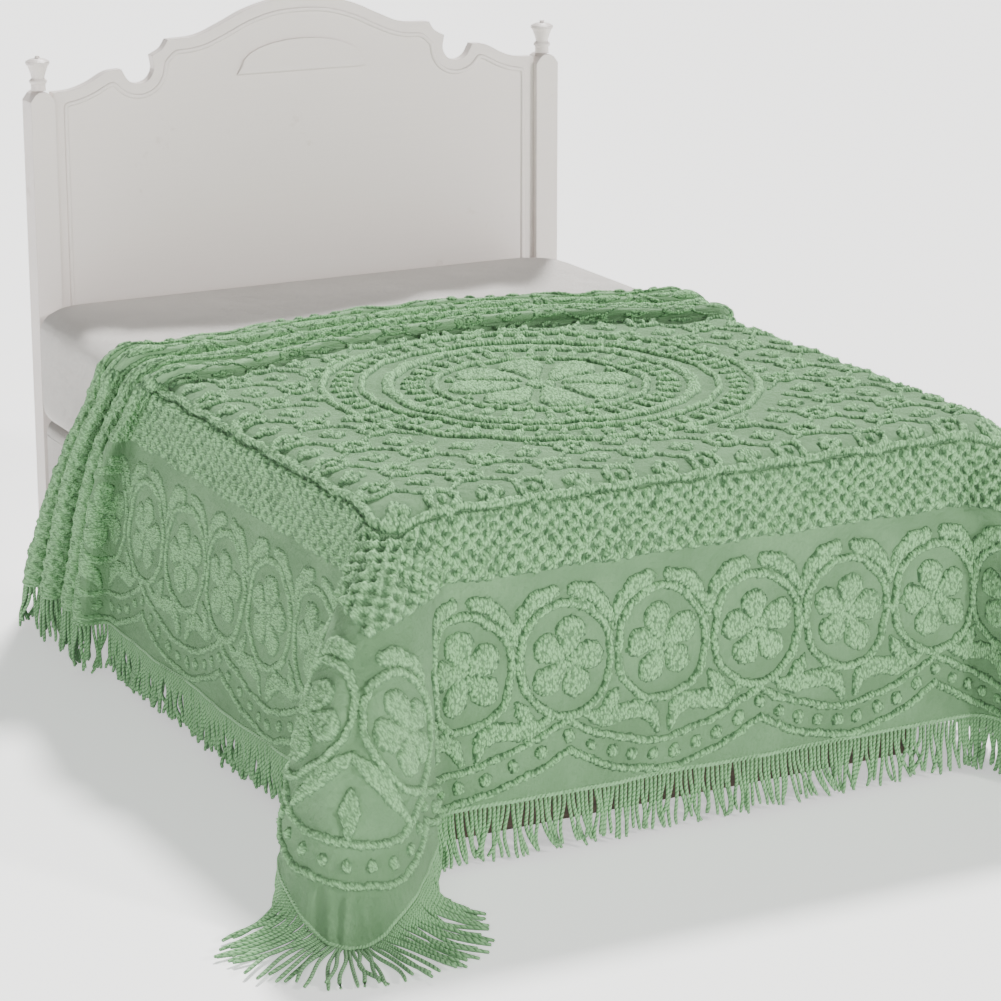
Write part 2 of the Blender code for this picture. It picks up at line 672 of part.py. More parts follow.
def main():
    clear_scene()
    paint = material("painted_wood", PAINT_WHITE, 0.45)
    build_bedspread(material("chenille_cloth", CHENILLE_GREEN, 0.95))
    build_fringe(material("chenille_fringe", CHENILLE_GREEN, 0.95))
    build_mattress(material("mattress_ticking", MATTRESS_WHITE, 0.9))
    build_foundation(material("foundation_cover", FOUNDATION_WHITE, 0.9))
    build_base(material("stained_base", BASE_BROWN, 0.6))
    build_headboard(paint)
    build_applique(paint)
    for side in (-1, 1):
        build_post(side, paint)


main()
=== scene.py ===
# Tufted chenille bedspread on a double bed. Metres, +Z up, the head of the bed towards +Y.
import math

import bpy
import numpy as np
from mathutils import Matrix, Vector


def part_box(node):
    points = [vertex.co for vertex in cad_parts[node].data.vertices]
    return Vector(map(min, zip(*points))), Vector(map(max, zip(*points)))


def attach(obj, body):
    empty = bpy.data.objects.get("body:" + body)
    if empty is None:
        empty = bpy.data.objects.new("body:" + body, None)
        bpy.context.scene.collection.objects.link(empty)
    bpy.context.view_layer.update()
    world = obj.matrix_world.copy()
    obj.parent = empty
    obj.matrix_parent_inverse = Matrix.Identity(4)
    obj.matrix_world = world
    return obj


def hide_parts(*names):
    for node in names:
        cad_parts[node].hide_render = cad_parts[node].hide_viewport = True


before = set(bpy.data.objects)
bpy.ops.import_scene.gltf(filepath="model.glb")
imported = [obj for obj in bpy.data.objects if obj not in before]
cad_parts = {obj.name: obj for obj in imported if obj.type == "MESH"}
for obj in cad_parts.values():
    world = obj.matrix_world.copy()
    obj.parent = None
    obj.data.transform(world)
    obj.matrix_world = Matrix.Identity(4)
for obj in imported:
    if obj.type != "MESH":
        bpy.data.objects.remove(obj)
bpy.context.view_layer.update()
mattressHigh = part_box("mattress")[1]
halfWidth, halfLength, mattressTop = mattressHigh.x, mattressHigh.y, mattressHigh.z
print("frame loaded:", len(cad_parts), "nodes")


# small helpers

def easeRamp(value):
    x = np.clip(value, 0.0, 1.0)
    return x * x * (3.0 - 2.0 * x)


def column(rows, key):
    return np.array([row[key] for row in rows])


def unitRows(vectors):
    return vectors / np.maximum(np.linalg.norm(vectors, axis=-1), 1e-12)[..., None]


def tubeFaces(rings, sides, closed=False, flipped=False):
    # four-sided faces between rings of points; a closed tube joins its last ring to its first
    i, k = np.meshgrid(np.arange(rings if closed else rings - 1), np.arange(sides), indexing="ij")
    after, beside = (i + 1) % rings, (k + 1) % sides
    near, nearNext = i * sides + k, i * sides + beside
    far, farNext = after * sides + k, after * sides + beside
    corners = (near, nearNext, farNext, far) if flipped else (near, far, farNext, nearNext)
    return np.stack(corners, -1).reshape(-1, 4)


def ringAngles(sides):
    return np.arange(sides) * 2 * math.pi / sides


def planNormals(ways):
    # directions turned a quarter, within their plane
    return np.stack((-ways[..., 1], ways[..., 0]), -1)


# A piece from arrays of points and four-sided faces. Each point can carry its place on the flat cloth and
# the height of pile by which the pile's material paints shade, for the materials.
def meshPiece(name, points, quads, material, places=None, heights=None):
    mesh = bpy.data.meshes.new(name)
    mesh.vertices.add(len(points))
    mesh.vertices.foreach_set("co", np.asarray(points, np.float32).ravel())
    mesh.loops.add(quads.size)
    mesh.loops.foreach_set("vertex_index", quads.astype(np.int32).ravel())
    mesh.polygons.add(len(quads))
    mesh.polygons.foreach_set("loop_start", np.arange(0, quads.size, 4, dtype=np.int32))
    mesh.update(calc_edges=True)
    mesh.validate()
    if places is not None:
        layer = mesh.attributes.new("clothPlace", "FLOAT_VECTOR", "POINT")
        layer.data.foreach_set("vector", np.asarray(places, np.float32).ravel())
    if heights is not None:
        layer = mesh.attributes.new("pileShadeHeight", "FLOAT", "POINT")
        layer.data.foreach_set("value", np.asarray(heights, np.float32).ravel())
    mesh.shade_smooth()
    mesh.materials.append(material)
    piece = bpy.data.objects.new(name, mesh)
    bpy.context.collection.objects.link(piece)
    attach(piece, "root")
    return piece


# camera, lights and floor

view = {
    "place": (-3.137, -6.106, 2.351),
    "turn": 27.53,          # degrees from +Y towards +X
    "dip": 15.88,           # degrees below the horizon
    "lens": 119.3,
    "farthest": 60.0,
}


def makeCamera():
    data = bpy.data.cameras.new("camera")
    data.lens = view["lens"]
    data.clip_end = view["farthest"]
    camera = bpy.data.objects.new("camera", data)
    bpy.context.collection.objects.link(camera)
    turn, dip = math.radians(view["turn"]), math.radians(view["dip"])
    way = Vector((math.sin(turn) * math.cos(dip), math.cos(turn) * math.cos(dip), -math.sin(dip)))
    camera.location = view["place"]
    camera.rotation_mode = "QUATERNION"
    camera.rotation_quaternion = way.to_track_quat("-Z", "Y")
    bpy.context.scene.camera = camera


stage = {
    "floorSize": 60.0,
    "floorDrop": 0.0005,    # keeps the floor just clear of what stands on it
    "floorColour": (0.93, 0.93, 0.93, 1.0),
    "floorRoughness": 0.9,
    "floorShine": (1.0, 1.0, 1.0, 1.0),
    "floorGlow": 0.68,
    "worldColour": (1.0, 1.0, 0.98, 1.0),
    "worldGlow": 0.27,
    "sunSpread": 7.0,       # degrees, for soft shadow edges
}
sunLamps = [
    {"name": "keySun", "way": (-0.46, 0.73, -0.38), "power": 2.45, "colour": (1.0, 0.985, 0.96)},
    {"name": "backSun", "way": (-0.36, -0.54, -0.76), "power": 7.1, "colour": (1.0, 0.99, 0.97)},
]
fillLamp = {
    "place": (-3.6, -4.9, 2.0),
    "aim": (-0.4, -0.7, 0.3),
    "size": 2.4,
    "power": 104.0,
    "colour": (1.0, 1.0, 0.98),
}


def addLamp(name, kind, way, sizes):
    data = bpy.data.lights.new(name, kind)
    data.energy = sizes["power"]
    data.color = sizes["colour"]
    lamp = bpy.data.objects.new(name, data)
    bpy.context.collection.objects.link(lamp)
    lamp.rotation_mode = "QUATERNION"
    lamp.rotation_quaternion = way.to_track_quat("-Z", "Y")
    return lamp


def makeLamps():
    for sun in sunLamps:
        lamp = addLamp(sun["name"], "SUN", Vector(sun["way"]), sun)
        lamp.data.angle = math.radians(stage["sunSpread"])
    lamp = addLamp("fillLight", "AREA", Vector(fillLamp["aim"]) - Vector(fillLamp["place"]), fillLamp)
    lamp.data.shape = "DISK"
    lamp.data.size = fillLamp["size"]
    lamp.location = fillLamp["place"]


def makeFloor():
    bpy.ops.mesh.primitive_plane_add(size=stage["floorSize"], location=(0.0, 0.0, -stage["floorDrop"]))
    floor = bpy.context.object
    floor.name = "floor"
    material = bpy.data.materials.new("paleFloor")
    material.use_nodes = True
    shader = material.node_tree.nodes["Principled BSDF"]
    shader.inputs["Base Color"].default_value = stage["floorColour"]
    shader.inputs["Roughness"].default_value = stage["floorRoughness"]
    shader.inputs["Emission Color"].default_value = stage["floorShine"]
    shader.inputs["Emission Strength"].default_value = stage["floorGlow"]
    floor.data.materials.append(material)


def makeWorld():
    world = bpy.data.worlds.new("studio")
    world.use_nodes = True
    background = world.node_tree.nodes["Background"]
    background.inputs["Color"].default_value = stage["worldColour"]
    background.inputs["Strength"].default_value = stage["worldGlow"]
    bpy.context.scene.world = world


makeCamera()
makeFloor()
makeWorld()
makeLamps()
print("camera, lights and floor made")


# The draped cloth is worked out as a middle surface over flat places, across and along the bed.

drapeSizes = {
    "planRound": 0.122,
    "edgeRound": 0.05,
    "clearance": 0.004,     # mattress side to the middle of the cloth
    "seat": 0.0023,         # mattress top to the middle of the cloth
    "hemHeight": 0.12,
    "hemFlare": 0.028,
    "hemCorner": 0.14,
    "headEdge": 1.0325,
    "rippleHeight": 0.005,
    "rippleLength": 0.43,
    "rippleFade": 0.4,      # drop over which the hanging sides start to ripple
    "rippleFromCorner": 0.05,
    "rippleFromFoot": 0.3,
    "rippleFromSide": 0.2,
    "takeUp": 0.52,         # how much cloth a corner fold can hold
    "foldStrongest": 1.6,
    "cornerReach": 1.08,
    "cornerRows": 145,
    "cornerTurns": 60,
    "leastFall": 0.35,
    "floorLevel": 0.0026,
    "settleHeight": 0.16,   # below this the corner folds are smoothed where they meet the floor
    "settleFade": 0.05,
    "foldBlend": 0.06,      # distance over which the head folds change from station to station
    "foldStations": 701,
    "foldRoundness": 0.9,
    "foldUneven": 0.10,
    "slide": 0.04,          # how far the cloth has slid round each corner fold
    "slideFade": 0.3,
}
cornerFold = [
    {"run": 0.00, "heading": 0.0},
    {"run": 0.44, "heading": 90.0},
    {"run": 0.61, "heading": 90.0},
    {"run": 0.78, "heading": 125.0},
    {"run": 1.00, "heading": 45.0},
]
headFoldAcross = [
    {"across": -1.40, "start": 0.365, "edge": 0.830, "rise": 0.056, "lean": 0.15},
    {"across": -1.25, "start": 0.355, "edge": 0.780, "rise": 0.058, "lean": 0.20},
    {"across": -1.08, "start": 0.330, "edge": 0.680, "rise": 0.060, "lean": 0.35},
    {"across": -0.90, "start": 0.305, "edge": 0.570, "rise": 0.062, "lean": 0.50},
    {"across": -0.78, "start": 0.240, "edge": 0.490, "rise": 0.044, "lean": 0.70},
    {"across": -0.68, "start": 0.100, "edge": 0.420, "rise": 0.034, "lean": 0.60},
    {"across": -0.58, "start": 0.060, "edge": 0.400, "rise": 0.030, "lean": 0.60},
    {"across": -0.40, "start": 0.140, "edge": 0.440, "rise": 0.029, "lean": 0.60},
    {"across": -0.20, "start": 0.210, "edge": 0.480, "rise": 0.029, "lean": 0.60},
    {"across": 0.05, "start": 0.240, "edge": 0.490, "rise": 0.029, "lean": 0.60},
    {"across": 0.25, "start": 0.220, "edge": 0.450, "rise": 0.029, "lean": 0.60},
    {"across": 0.45, "start": 0.150, "edge": 0.390, "rise": 0.028, "lean": 0.60},
    {"across": 0.60, "start": 0.075, "edge": 0.350, "rise": 0.027, "lean": 0.60},
    {"across": 0.70, "start": 0.120, "edge": 0.370, "rise": 0.029, "lean": 0.55},
    {"across": 0.82, "start": 0.250, "edge": 0.440, "rise": 0.040, "lean": 0.60},
    {"across": 0.95, "start": 0.300, "edge": 0.540, "rise": 0.052, "lean": 0.45},
    {"across": 1.10, "start": 0.330, "edge": 0.660, "rise": 0.060, "lean": 0.30},
    {"across": 1.25, "start": 0.350, "edge": 0.750, "rise": 0.058, "lean": 0.20},
    {"across": 1.40, "start": 0.360, "edge": 0.800, "rise": 0.056, "lean": 0.15},
]
headFolds = [
    {"share": 0.27, "height": 1.00, "sway": 0.04},
    {"share": 0.24, "height": 0.86, "sway": -0.04},
    {"share": 0.26, "height": 1.08, "sway": 0.05},
    {"share": 0.23, "height": 0.94, "sway": -0.04},
]

centreX = halfWidth + drapeSizes["clearance"] - drapeSizes["planRound"]
centreY = centreX + halfLength - halfWidth
clothTop = mattressTop + drapeSizes["seat"]
arcStart = drapeSizes["planRound"] - drapeSizes["edgeRound"]
arcEnd = arcStart + drapeSizes["edgeRound"] * math.pi / 2
hemPath = arcEnd + clothTop - drapeSizes["edgeRound"] - drapeSizes["hemHeight"]
hemRound = drapeSizes["hemCorner"]
hemInner = hemPath - hemRound
headEdge = drapeSizes["headEdge"]


def dropProfile(path):
    turn = np.clip((path - arcStart) / drapeSizes["edgeRound"], 0.0, math.pi / 2)
    drop = np.maximum(path - arcEnd, 0.0)
    reach = np.minimum(path, arcStart) + drapeSizes["edgeRound"] * np.sin(turn)
    reach = reach + drapeSizes["hemFlare"] * easeRamp(drop / (hemPath - arcEnd))
    return reach, clothTop - drapeSizes["edgeRound"] * (1.0 - np.cos(turn)) - drop


def halfFold(strength, halfRun, run):
    # plan of half a corner fold, from its middle to the flat side, for one strength of the fold
    shape = np.interp(run, column(cornerFold, "run"), column(cornerFold, "heading"))
    heading = np.radians(45.0 * run + strength * (shape - 45.0 * run))
    step = halfRun * np.diff(run, prepend=0.0)
    middle = (heading + np.concatenate(([heading[0]], heading[:-1]))) / 2
    return np.cumsum(step * np.sin(middle)), np.cumsum(step * np.cos(middle))


def cornerPlan(path):
    # plan line of the round corner fold at one path length
    reach = float(dropProfile(np.array([path]))[0][0])
    spare = path - reach
    held = spare / (1.0 + (spare / drapeSizes["takeUp"]) ** 3) ** (1 / 3)
    halfRun = math.pi / 4 * (reach + held)
    run = np.linspace(0.0, 1.0, drapeSizes["cornerTurns"] + 1)
    low, high = 0.0, drapeSizes["foldStrongest"]
    for _ in range(40):     # halve the range until the fold's ends meet the flat sides
        strength = (low + high) / 2
        down, across = halfFold(strength, halfRun, run)
        if across[-1] > reach / math.sqrt(2):
            low = strength
        else:
            high = strength
    along = reach / math.sqrt(2) + down[-1] - down
    along = np.concatenate((along[::-1], along[1:]))
    across = np.concatenate((-across[::-1], across[1:]))
    return np.stack(((along - across) / math.sqrt(2), (along + across) / math.sqrt(2)), -1)


def cornerTable():
    # places over a corner, by path length out and by turn from the side to the foot
    centreGap = 0.001       # keeps the first row of the table off the corner's centre
    paths = np.linspace(0.0, drapeSizes["cornerReach"], drapeSizes["cornerRows"])
    step = paths[1]
    rows = []
    for path in paths:
        plan = cornerPlan(max(path, centreGap)) * min(1.0, path / centreGap)
        height = np.full(len(plan), float(dropProfile(np.array([path]))[1][0]))
        rows.append(np.column_stack((plan, height)))
    table = np.array(rows)
    first = int(arcEnd / step) + 1
    tangent = np.gradient(table[:, :, :2], axis=1)
    outward = -planNormals(unitRows(tangent))
    for i in range(first, len(paths)):
        shift = np.linalg.norm(table[i, :, :2] - table[i - 1, :, :2], axis=1) * (i > first)
        fall = np.sqrt(np.maximum(step ** 2 - shift ** 2, (drapeSizes["leastFall"] * step) ** 2))
        table[i, :, 2] = table[i - 1, :, 2] - fall
        down = table[i, :, 2] < drapeSizes["floorLevel"]
        table[i, down, :2] = table[i - 1, down, :2] + step * outward[i, down]
        table[i, down, 2] = drapeSizes["floorLevel"]
    low = easeRamp((drapeSizes["settleHeight"] - table[:, :, 2:]) / drapeSizes["settleFade"])
    for _ in range(2):
        mean = table.copy()
        mean[1:-1] = (table[:-2] + 2.0 * table[1:-1] + table[2:]) / 4
        table = table + low * (mean - table)
    return paths, table


cornerPaths, cornerPlaces = cornerTable()


def cornerPoint(path, turn):
    # the corner table read between its rows and columns
    row = np.clip(path / cornerPaths[1], 0.0, len(cornerPaths) - 1.001)
    col = np.clip(turn, 0.0, 1.0) * (cornerPlaces.shape[1] - 1.001)
    i, j = row.astype(int), col.astype(int)
    fi, fj = (row - i)[..., None], (col - j)[..., None]
    near = cornerPlaces[i, j] * (1 - fj) + cornerPlaces[i, j + 1] * fj
    far = cornerPlaces[i + 1, j] * (1 - fj) + cornerPlaces[i + 1, j + 1] * fj
    return near * (1 - fi) + far * fi


def foldValue(across, key):
    rows = column(headFoldAcross, "across")
    values = column(headFoldAcross, key)
    spread = np.linspace(-drapeSizes["foldBlend"], drapeSizes["foldBlend"], 7)
    return np.mean([np.interp(across + s, rows, values) for s in spread], axis=0)


foldEnds = headFoldAcross[0]["across"], headFoldAcross[-1]["across"]
foldPlaces = np.linspace(*foldEnds, drapeSizes["foldStations"])
foldCurves = {key: foldValue(foldPlaces, key) for key in ("start", "edge", "rise", "lean")}


def headFold(across, flat):
    # place along the bed and lift off the bed, in the folds below the pillows
    start, edge, rise, lean = (np.interp(across, foldPlaces, foldCurves[key])
                               for key in ("start", "edge", "rise", "lean"))
    share = np.clip((flat - start) / (headEdge - start), 0.0, 1.0)
    along = np.minimum(flat, start)
    lift = np.zeros_like(along)
    begin = np.zeros_like(along)
    for number, fold in enumerate(headFolds):
        sway = fold["sway"] * np.sin(2.6 * across + 1.3 * number)
        end = begin + fold["share"] + sway * fold["share"]
        if number == len(headFolds) - 1:
            end = np.ones_like(begin)
        inside = np.clip((share - begin) / (end - begin), 0.0, 1.0)
        uneven = 1.0 + drapeSizes["foldUneven"] * np.sin(3.7 * across + 2.1 * number)
        bump = fold["height"] * uneven * rise * (1.0 - np.cos(2 * math.pi * inside)) / 2
        lift = lift + bump
        even = inside + drapeSizes["foldRoundness"] / (4 * math.pi) * np.sin(4 * math.pi * inside)
        along = along + (edge - start) * (end - begin) * even - lean * bump
        begin = end
    return along, lift


def sideRipple(place, drop):
    phase = 2 * math.pi * place / drapeSizes["rippleLength"]
    wave = 1.0 + 0.7 * np.sin(phase) + 0.3 * np.sin(1.7 * phase + 1.0)
    return drapeSizes["rippleHeight"] * wave * easeRamp(drop / drapeSizes["rippleFade"])


def middlePoint(across, flat):
    # the draped place of each flat place: over the mattress, down the sides and round the corners
    across, flat = np.asarray(across, float), np.asarray(flat, float)
    outSide = np.maximum(np.abs(across) - centreX, 0.0)
    outFoot = np.maximum(-flat - centreY, 0.0)
    path = np.hypot(outSide, outFoot)
    turn = np.arctan2(outFoot, np.maximum(outSide, 1e-9)) / (math.pi / 2)
    turn = np.where(path < 1e-9, 0.0, turn)
    turn = turn + drapeSizes["slide"] * np.sin(math.pi * turn) * easeRamp(path / drapeSizes["slideFade"])
    place = cornerPoint(path, turn)
    along, lift = headFold(across, flat)
    overEdge = np.clip((outSide - arcStart) / drapeSizes["edgeRound"], 0.0, math.pi / 2)
    drop = path - arcEnd
    sideWave = sideRipple(flat, drop) * (1.0 - easeRamp(outFoot / drapeSizes["rippleFromCorner"]))
    sideWave = sideWave * easeRamp((flat + centreY) / drapeSizes["rippleFromFoot"])
    footWave = sideRipple(across, drop) * (1.0 - easeRamp(outSide / drapeSizes["rippleFromCorner"]))
    footWave = footWave * easeRamp((centreX - np.abs(across)) / drapeSizes["rippleFromSide"])
    x = np.minimum(np.abs(across), centreX) + place[..., 0] + lift * np.sin(overEdge)
    x = (x + sideWave * (outSide > 0)) * np.where(across < 0, -1.0, 1.0)
    y = np.where(flat > -centreY, along, -centreY) - place[..., 1] - footWave * (outFoot > 0)
    return np.stack((x, y, place[..., 2] + lift * np.cos(overEdge)), -1)


def middleNormal(across, flat):
    step = 0.004            # flat distance either way over which the slope is taken
    du = middlePoint(across + step, flat) - middlePoint(across - step, flat)
    dv = middlePoint(across, flat + step) - middlePoint(across, flat - step)
    return unitRows(np.cross(du, dv))


# Soft creases of the hanging cloth run from place to place on the flat cloth.
creases = [
    {"from": (-0.66, -0.98), "to": (-0.84, -1.22), "width": 0.020, "height": -0.005},
    {"from": (-0.72, -0.95), "to": (-1.00, -1.20), "width": 0.018, "height": 0.005},
    {"from": (-0.82, -1.09), "to": (-1.07, -1.33), "width": 0.026, "height": -0.011},
    {"from": (-0.56, -1.05), "to": (-0.53, -1.50), "width": 0.024, "height": -0.003},
    {"from": (0.12, -1.38), "to": (0.10, -1.52), "width": 0.016, "height": 0.004},
    {"from": (0.38, -1.40), "to": (0.41, -1.52), "width": 0.018, "height": 0.004},
    {"from": (-0.30, -1.40), "to": (-0.27, -1.52), "width": 0.015, "height": -0.004},
    {"from": (-0.98, -0.45), "to": (-1.24, -0.50), "width": 0.022, "height": 0.003},
    {"from": (0.70, -0.98), "to": (0.86, -1.18), "width": 0.020, "height": -0.004},
]
# Puckers run down to the hem at the tip of each corner fold. Begin and end are sideways from its
# middle, and "from" is how far out they start from the centre of the hem's round corner.
hemPuckers = [
    {"begin": -0.075, "end": -0.105, "from": -0.030, "width": 0.014, "height": 0.0060},
    {"begin": -0.055, "end": -0.066, "from": 0.020, "width": 0.009, "height": -0.0024},
    {"begin": -0.044, "end": -0.038, "from": -0.010, "width": 0.008, "height": 0.0054},
    {"begin": -0.020, "end": -0.022, "from": 0.035, "width": 0.011, "height": -0.0023},
    {"begin": 0.004, "end": -0.004, "from": 0.010, "width": 0.007, "height": 0.0078},
    {"begin": 0.020, "end": 0.026, "from": -0.020, "width": 0.013, "height": -0.0034},
    {"begin": 0.032, "end": 0.066, "from": 0.030, "width": 0.008, "height": 0.0051},
    {"begin": 0.066, "end": 0.050, "from": 0.015, "width": 0.008, "height": -0.0021},
    {"begin": 0.070, "end": 0.098, "from": -0.028, "width": 0.012, "height": 0.0054},
]
puckerReach = 0.142     # just past the hem


def puckerPlace(mirror, off, out):
    # from beside and out of the hem's round corner, to across and along the flat cloth
    beyondX, beyondY = (out - off) / math.sqrt(2), (out + off) / math.sqrt(2)
    return mirror * (centreX + hemPath - hemRound + beyondX), -(centreY + hemPath - hemRound) - beyondY


for mirror in (-1, 1):
    for pucker in hemPuckers:
        reach = math.sqrt(puckerReach ** 2 - pucker["end"] ** 2)
        creases.append({
            "from": puckerPlace(mirror, pucker["begin"], pucker["from"]),
            "to": puckerPlace(mirror, pucker["end"], reach),
            "width": pucker["width"],
            "height": pucker["height"],
        })
creaseFade = 0.05       # distance over which a crease starts and ends
creaseEnd = 0.3         # how far into that fade a crease still is at its far end
swellBend, swellWaves = 0.8, 5.0
swells = [
    {"turn": 12.0, "length": 0.110, "height": 0.0007},
    {"turn": 71.0, "length": 0.085, "height": 0.0006},
    {"turn": 133.0, "length": 0.140, "height": 0.0009},
    {"turn": 97.0, "length": 0.210, "height": 0.0012},
    {"turn": 160.0, "length": 0.064, "height": 0.0005},
]


def creaseHeight(across, flat):
    total = np.zeros_like(across)
    for crease in creases:
        start = np.array(crease["from"])
        way = np.array(crease["to"]) - start
        length = float(np.linalg.norm(way))
        way = way / length
        run = (across - start[0]) * way[0] + (flat - start[1]) * way[1]
        off = (across - start[0]) * way[1] - (flat - start[1]) * way[0]
        fade = easeRamp(run / creaseFade) * easeRamp((length - run) / creaseFade + creaseEnd)
        total = total + crease["height"] * fade * np.exp(-(off / crease["width"]) ** 2)
    for number, swell in enumerate(swells):
        turn = math.radians(swell["turn"])
        run = across * math.cos(turn) + flat * math.sin(turn)
        aside = across * math.sin(turn) - flat * math.cos(turn)
        bend = swellBend * np.sin(swellWaves * aside + number)
        total = total + swell["height"] * np.sin(2 * math.pi * run / swell["length"] + bend)
    return total


def clothPoint(across, flat, height):
    # a place at a height over the cloth's middle surface, creases included
    lift = (creaseHeight(across, flat) + height)[..., None]
    return middlePoint(across, flat) + lift * middleNormal(across, flat)


print("drape worked out, hem path", round(float(hemPath), 4))


# Shader helpers. Each takes sockets or plain values, and gives back the socket it makes.

def feed(tree, socket, value):
    if isinstance(value, bpy.types.NodeSocket):
        tree.links.new(value, socket)
    else:
        socket.default_value = value


def mathNode(tree, operation, *values):
    node = tree.nodes.new("ShaderNodeMath")
    node.operation = operation
    for socket, value in zip(node.inputs, values):
        feed(tree, socket, value)
    return node.outputs[0]


def plus(tree, first, second):
    return mathNode(tree, "ADD", first, second)


def times(tree, first, second):
    return mathNode(tree, "MULTIPLY", first, second)


def larger(tree, first, second):
    return mathNode(tree, "MAXIMUM", first, second)


def mixColour(tree, factor, first, second):
    node = tree.nodes.new("ShaderNodeMix")
    node.data_type = "RGBA"
    for number, value in ((0, factor), (6, first), (7, second)):    # the colour mix's own sockets
        feed(tree, node.inputs[number], value)
    return node.outputs[2]


def noiseNode(tree, place, scale, detail, roughness=0.5):
    node = tree.nodes.new("ShaderNodeTexNoise")
    values = {"Vector": place, "Scale": scale, "Detail": detail, "Roughness": roughness}
    for label, value in values.items():
        feed(tree, node.inputs[label], value)
    return node.outputs["Fac"]


def rampNode(tree, factor, low, high):
    # a smooth step from 0 at low to 1 at high
    node = tree.nodes.new("ShaderNodeMapRange")
    node.interpolation_type = "SMOOTHSTEP"
    for label, value in (("Value", factor), ("From Min", low), ("From Max", high)):
        feed(tree, node.inputs[label], value)
    return node.outputs["Result"]


def stretched(tree, place, scale):
    node = tree.nodes.new("ShaderNodeMapping")
    feed(tree, node.inputs["Vector"], place)
    feed(tree, node.inputs["Scale"], scale)
    return node.outputs["Vector"]


def splitPlace(tree, place):
    node = tree.nodes.new("ShaderNodeSeparateXYZ")
    tree.links.new(place, node.inputs[0])
    return node.outputs


# Effects that several finishes share are shader groups with a place and one value going in.

def newGroup(name, label, value, outputs):
    group = bpy.data.node_groups.new(name, "ShaderNodeTree")
    group.interface.new_socket("Place", in_out="INPUT", socket_type="NodeSocketVector")
    socket = group.interface.new_socket(label, in_out="INPUT", socket_type="NodeSocketFloat")
    socket.default_value = value
    for output in outputs:
        group.interface.new_socket(output, in_out="OUTPUT", socket_type="NodeSocketFloat")
    source = group.nodes.new("NodeGroupInput").outputs
    return group, source["Place"], source[label], group.nodes.new("NodeGroupOutput").inputs


groupLook = {
    "clump": 260.0,
    "squeeze": (1.0, 0.5, 1.0),
    "fineFuzz": 620.0,
    "tipRelief": 0.7,
    "fineRelief": 0.6,
    "gapRange": (0.76, 0.46),
    "threads": 700.0,
    "threadWander": 1.2,
    "slubStretch": (1.0, 0.12, 1.0),
    "slubs": 240.0,
    "wearSize": 3.0,
    "wearRange": (0.3, 0.7),
}


def fuzzGroup():
    # cut ends of pile: a fine clumpy relief, and a mask of the gaps between clumps where the pile's
    # material paints shade
    group, place, clump, sink = newGroup("pileFuzz", "Clump", groupLook["clump"], ("Relief", "Gaps"))
    cells = group.nodes.new("ShaderNodeTexVoronoi")
    cells.feature = "F1"
    feed(group, cells.inputs["Vector"], stretched(group, place, groupLook["squeeze"]))
    feed(group, cells.inputs["Scale"], clump)
    tips = mathNode(group, "SUBTRACT", 1.0, cells.outputs["Distance"])
    fine = noiseNode(group, place, groupLook["fineFuzz"], 3.0, 0.7)
    relief = plus(group, times(group, tips, groupLook["tipRelief"]),
                  times(group, fine, groupLook["fineRelief"]))
    feed(group, sink["Relief"], relief)
    feed(group, sink["Gaps"], rampNode(group, relief, *groupLook["gapRange"]))
    return group


def weaveGroup():
    # plain weave: crossing threads, and thicker places that run along them
    group, place, threads, sink = newGroup("plainWeave", "Threads", groupLook["threads"],
                                           ("Relief", "Slub"))
    waves = []
    for axis in ("X", "Y"):
        wave = group.nodes.new("ShaderNodeTexWave")
        wave.wave_type = "BANDS"
        wave.bands_direction = axis
        values = {"Vector": place, "Scale": threads, "Distortion": groupLook["threadWander"], "Detail": 1.0}
        for label, value in values.items():
            feed(group, wave.inputs[label], value)
        waves.append(times(group, wave.outputs["Fac"], 0.5))
    feed(group, sink["Relief"], plus(group, *waves))
    drawn = stretched(group, place, groupLook["slubStretch"])
    feed(group, sink["Slub"], noiseNode(group, drawn, groupLook["slubs"], 2.0, 0.6))
    return group


def wearGroup():
    # uneven fading in large soft patches
    group, place, size, sink = newGroup("softWear", "Size", groupLook["wearSize"], ("Patches",))
    patches = noiseNode(group, place, size, 3.0)
    feed(group, sink["Patches"], rampNode(group, patches, *groupLook["wearRange"]))
    return group


pileFuzz, plainWeave, softWear = fuzzGroup(), weaveGroup(), wearGroup()


def newMaterial(name, roughness):
    # gives back the material, its nodes and the sockets of its main shader
    material = bpy.data.materials.new(name)
    material.use_nodes = True
    tree = material.node_tree
    shader = tree.nodes["Principled BSDF"].inputs
    shader["Roughness"].default_value = roughness
    return material, tree, shader


def attributeNode(tree, name, output):
    node = tree.nodes.new("ShaderNodeAttribute")
    node.attribute_name = name
    return node.outputs[output]


def objectPlace(tree):
    return tree.nodes.new("ShaderNodeTexCoord").outputs["Object"]


def groupNode(tree, group, place, value):
    node = tree.nodes.new("ShaderNodeGroup")
    node.node_tree = group
    feed(tree, node.inputs[0], place)
    feed(tree, node.inputs[1], value)
    return node.outputs


def bumpNormal(tree, shader, height, distance):
    bump = tree.nodes.new("ShaderNodeBump")
    bump.inputs["Distance"].default_value = distance
    tree.links.new(height, bump.inputs["Height"])
    tree.links.new(bump.outputs["Normal"], shader["Normal"])
    return bump


chenille = {
    "pileLight": (0.385, 0.790, 0.362, 1.0),
    "yarn": (0.270, 0.532, 0.257, 1.0),
    # painted shade: the dark green that pile and fringe are darkened towards where shade falls
    "paintedShadeGreen": (0.055, 0.145, 0.06, 1.0),
    "clothLight": (0.240, 0.460, 0.230, 1.0),
    "clothDark": (0.175, 0.350, 0.168, 1.0),
    "rollPaintedLight": (0.345, 0.640, 0.330, 1.0),      # painted light: a lighter ground under the low pile of the head rolls, which lie in shade
}
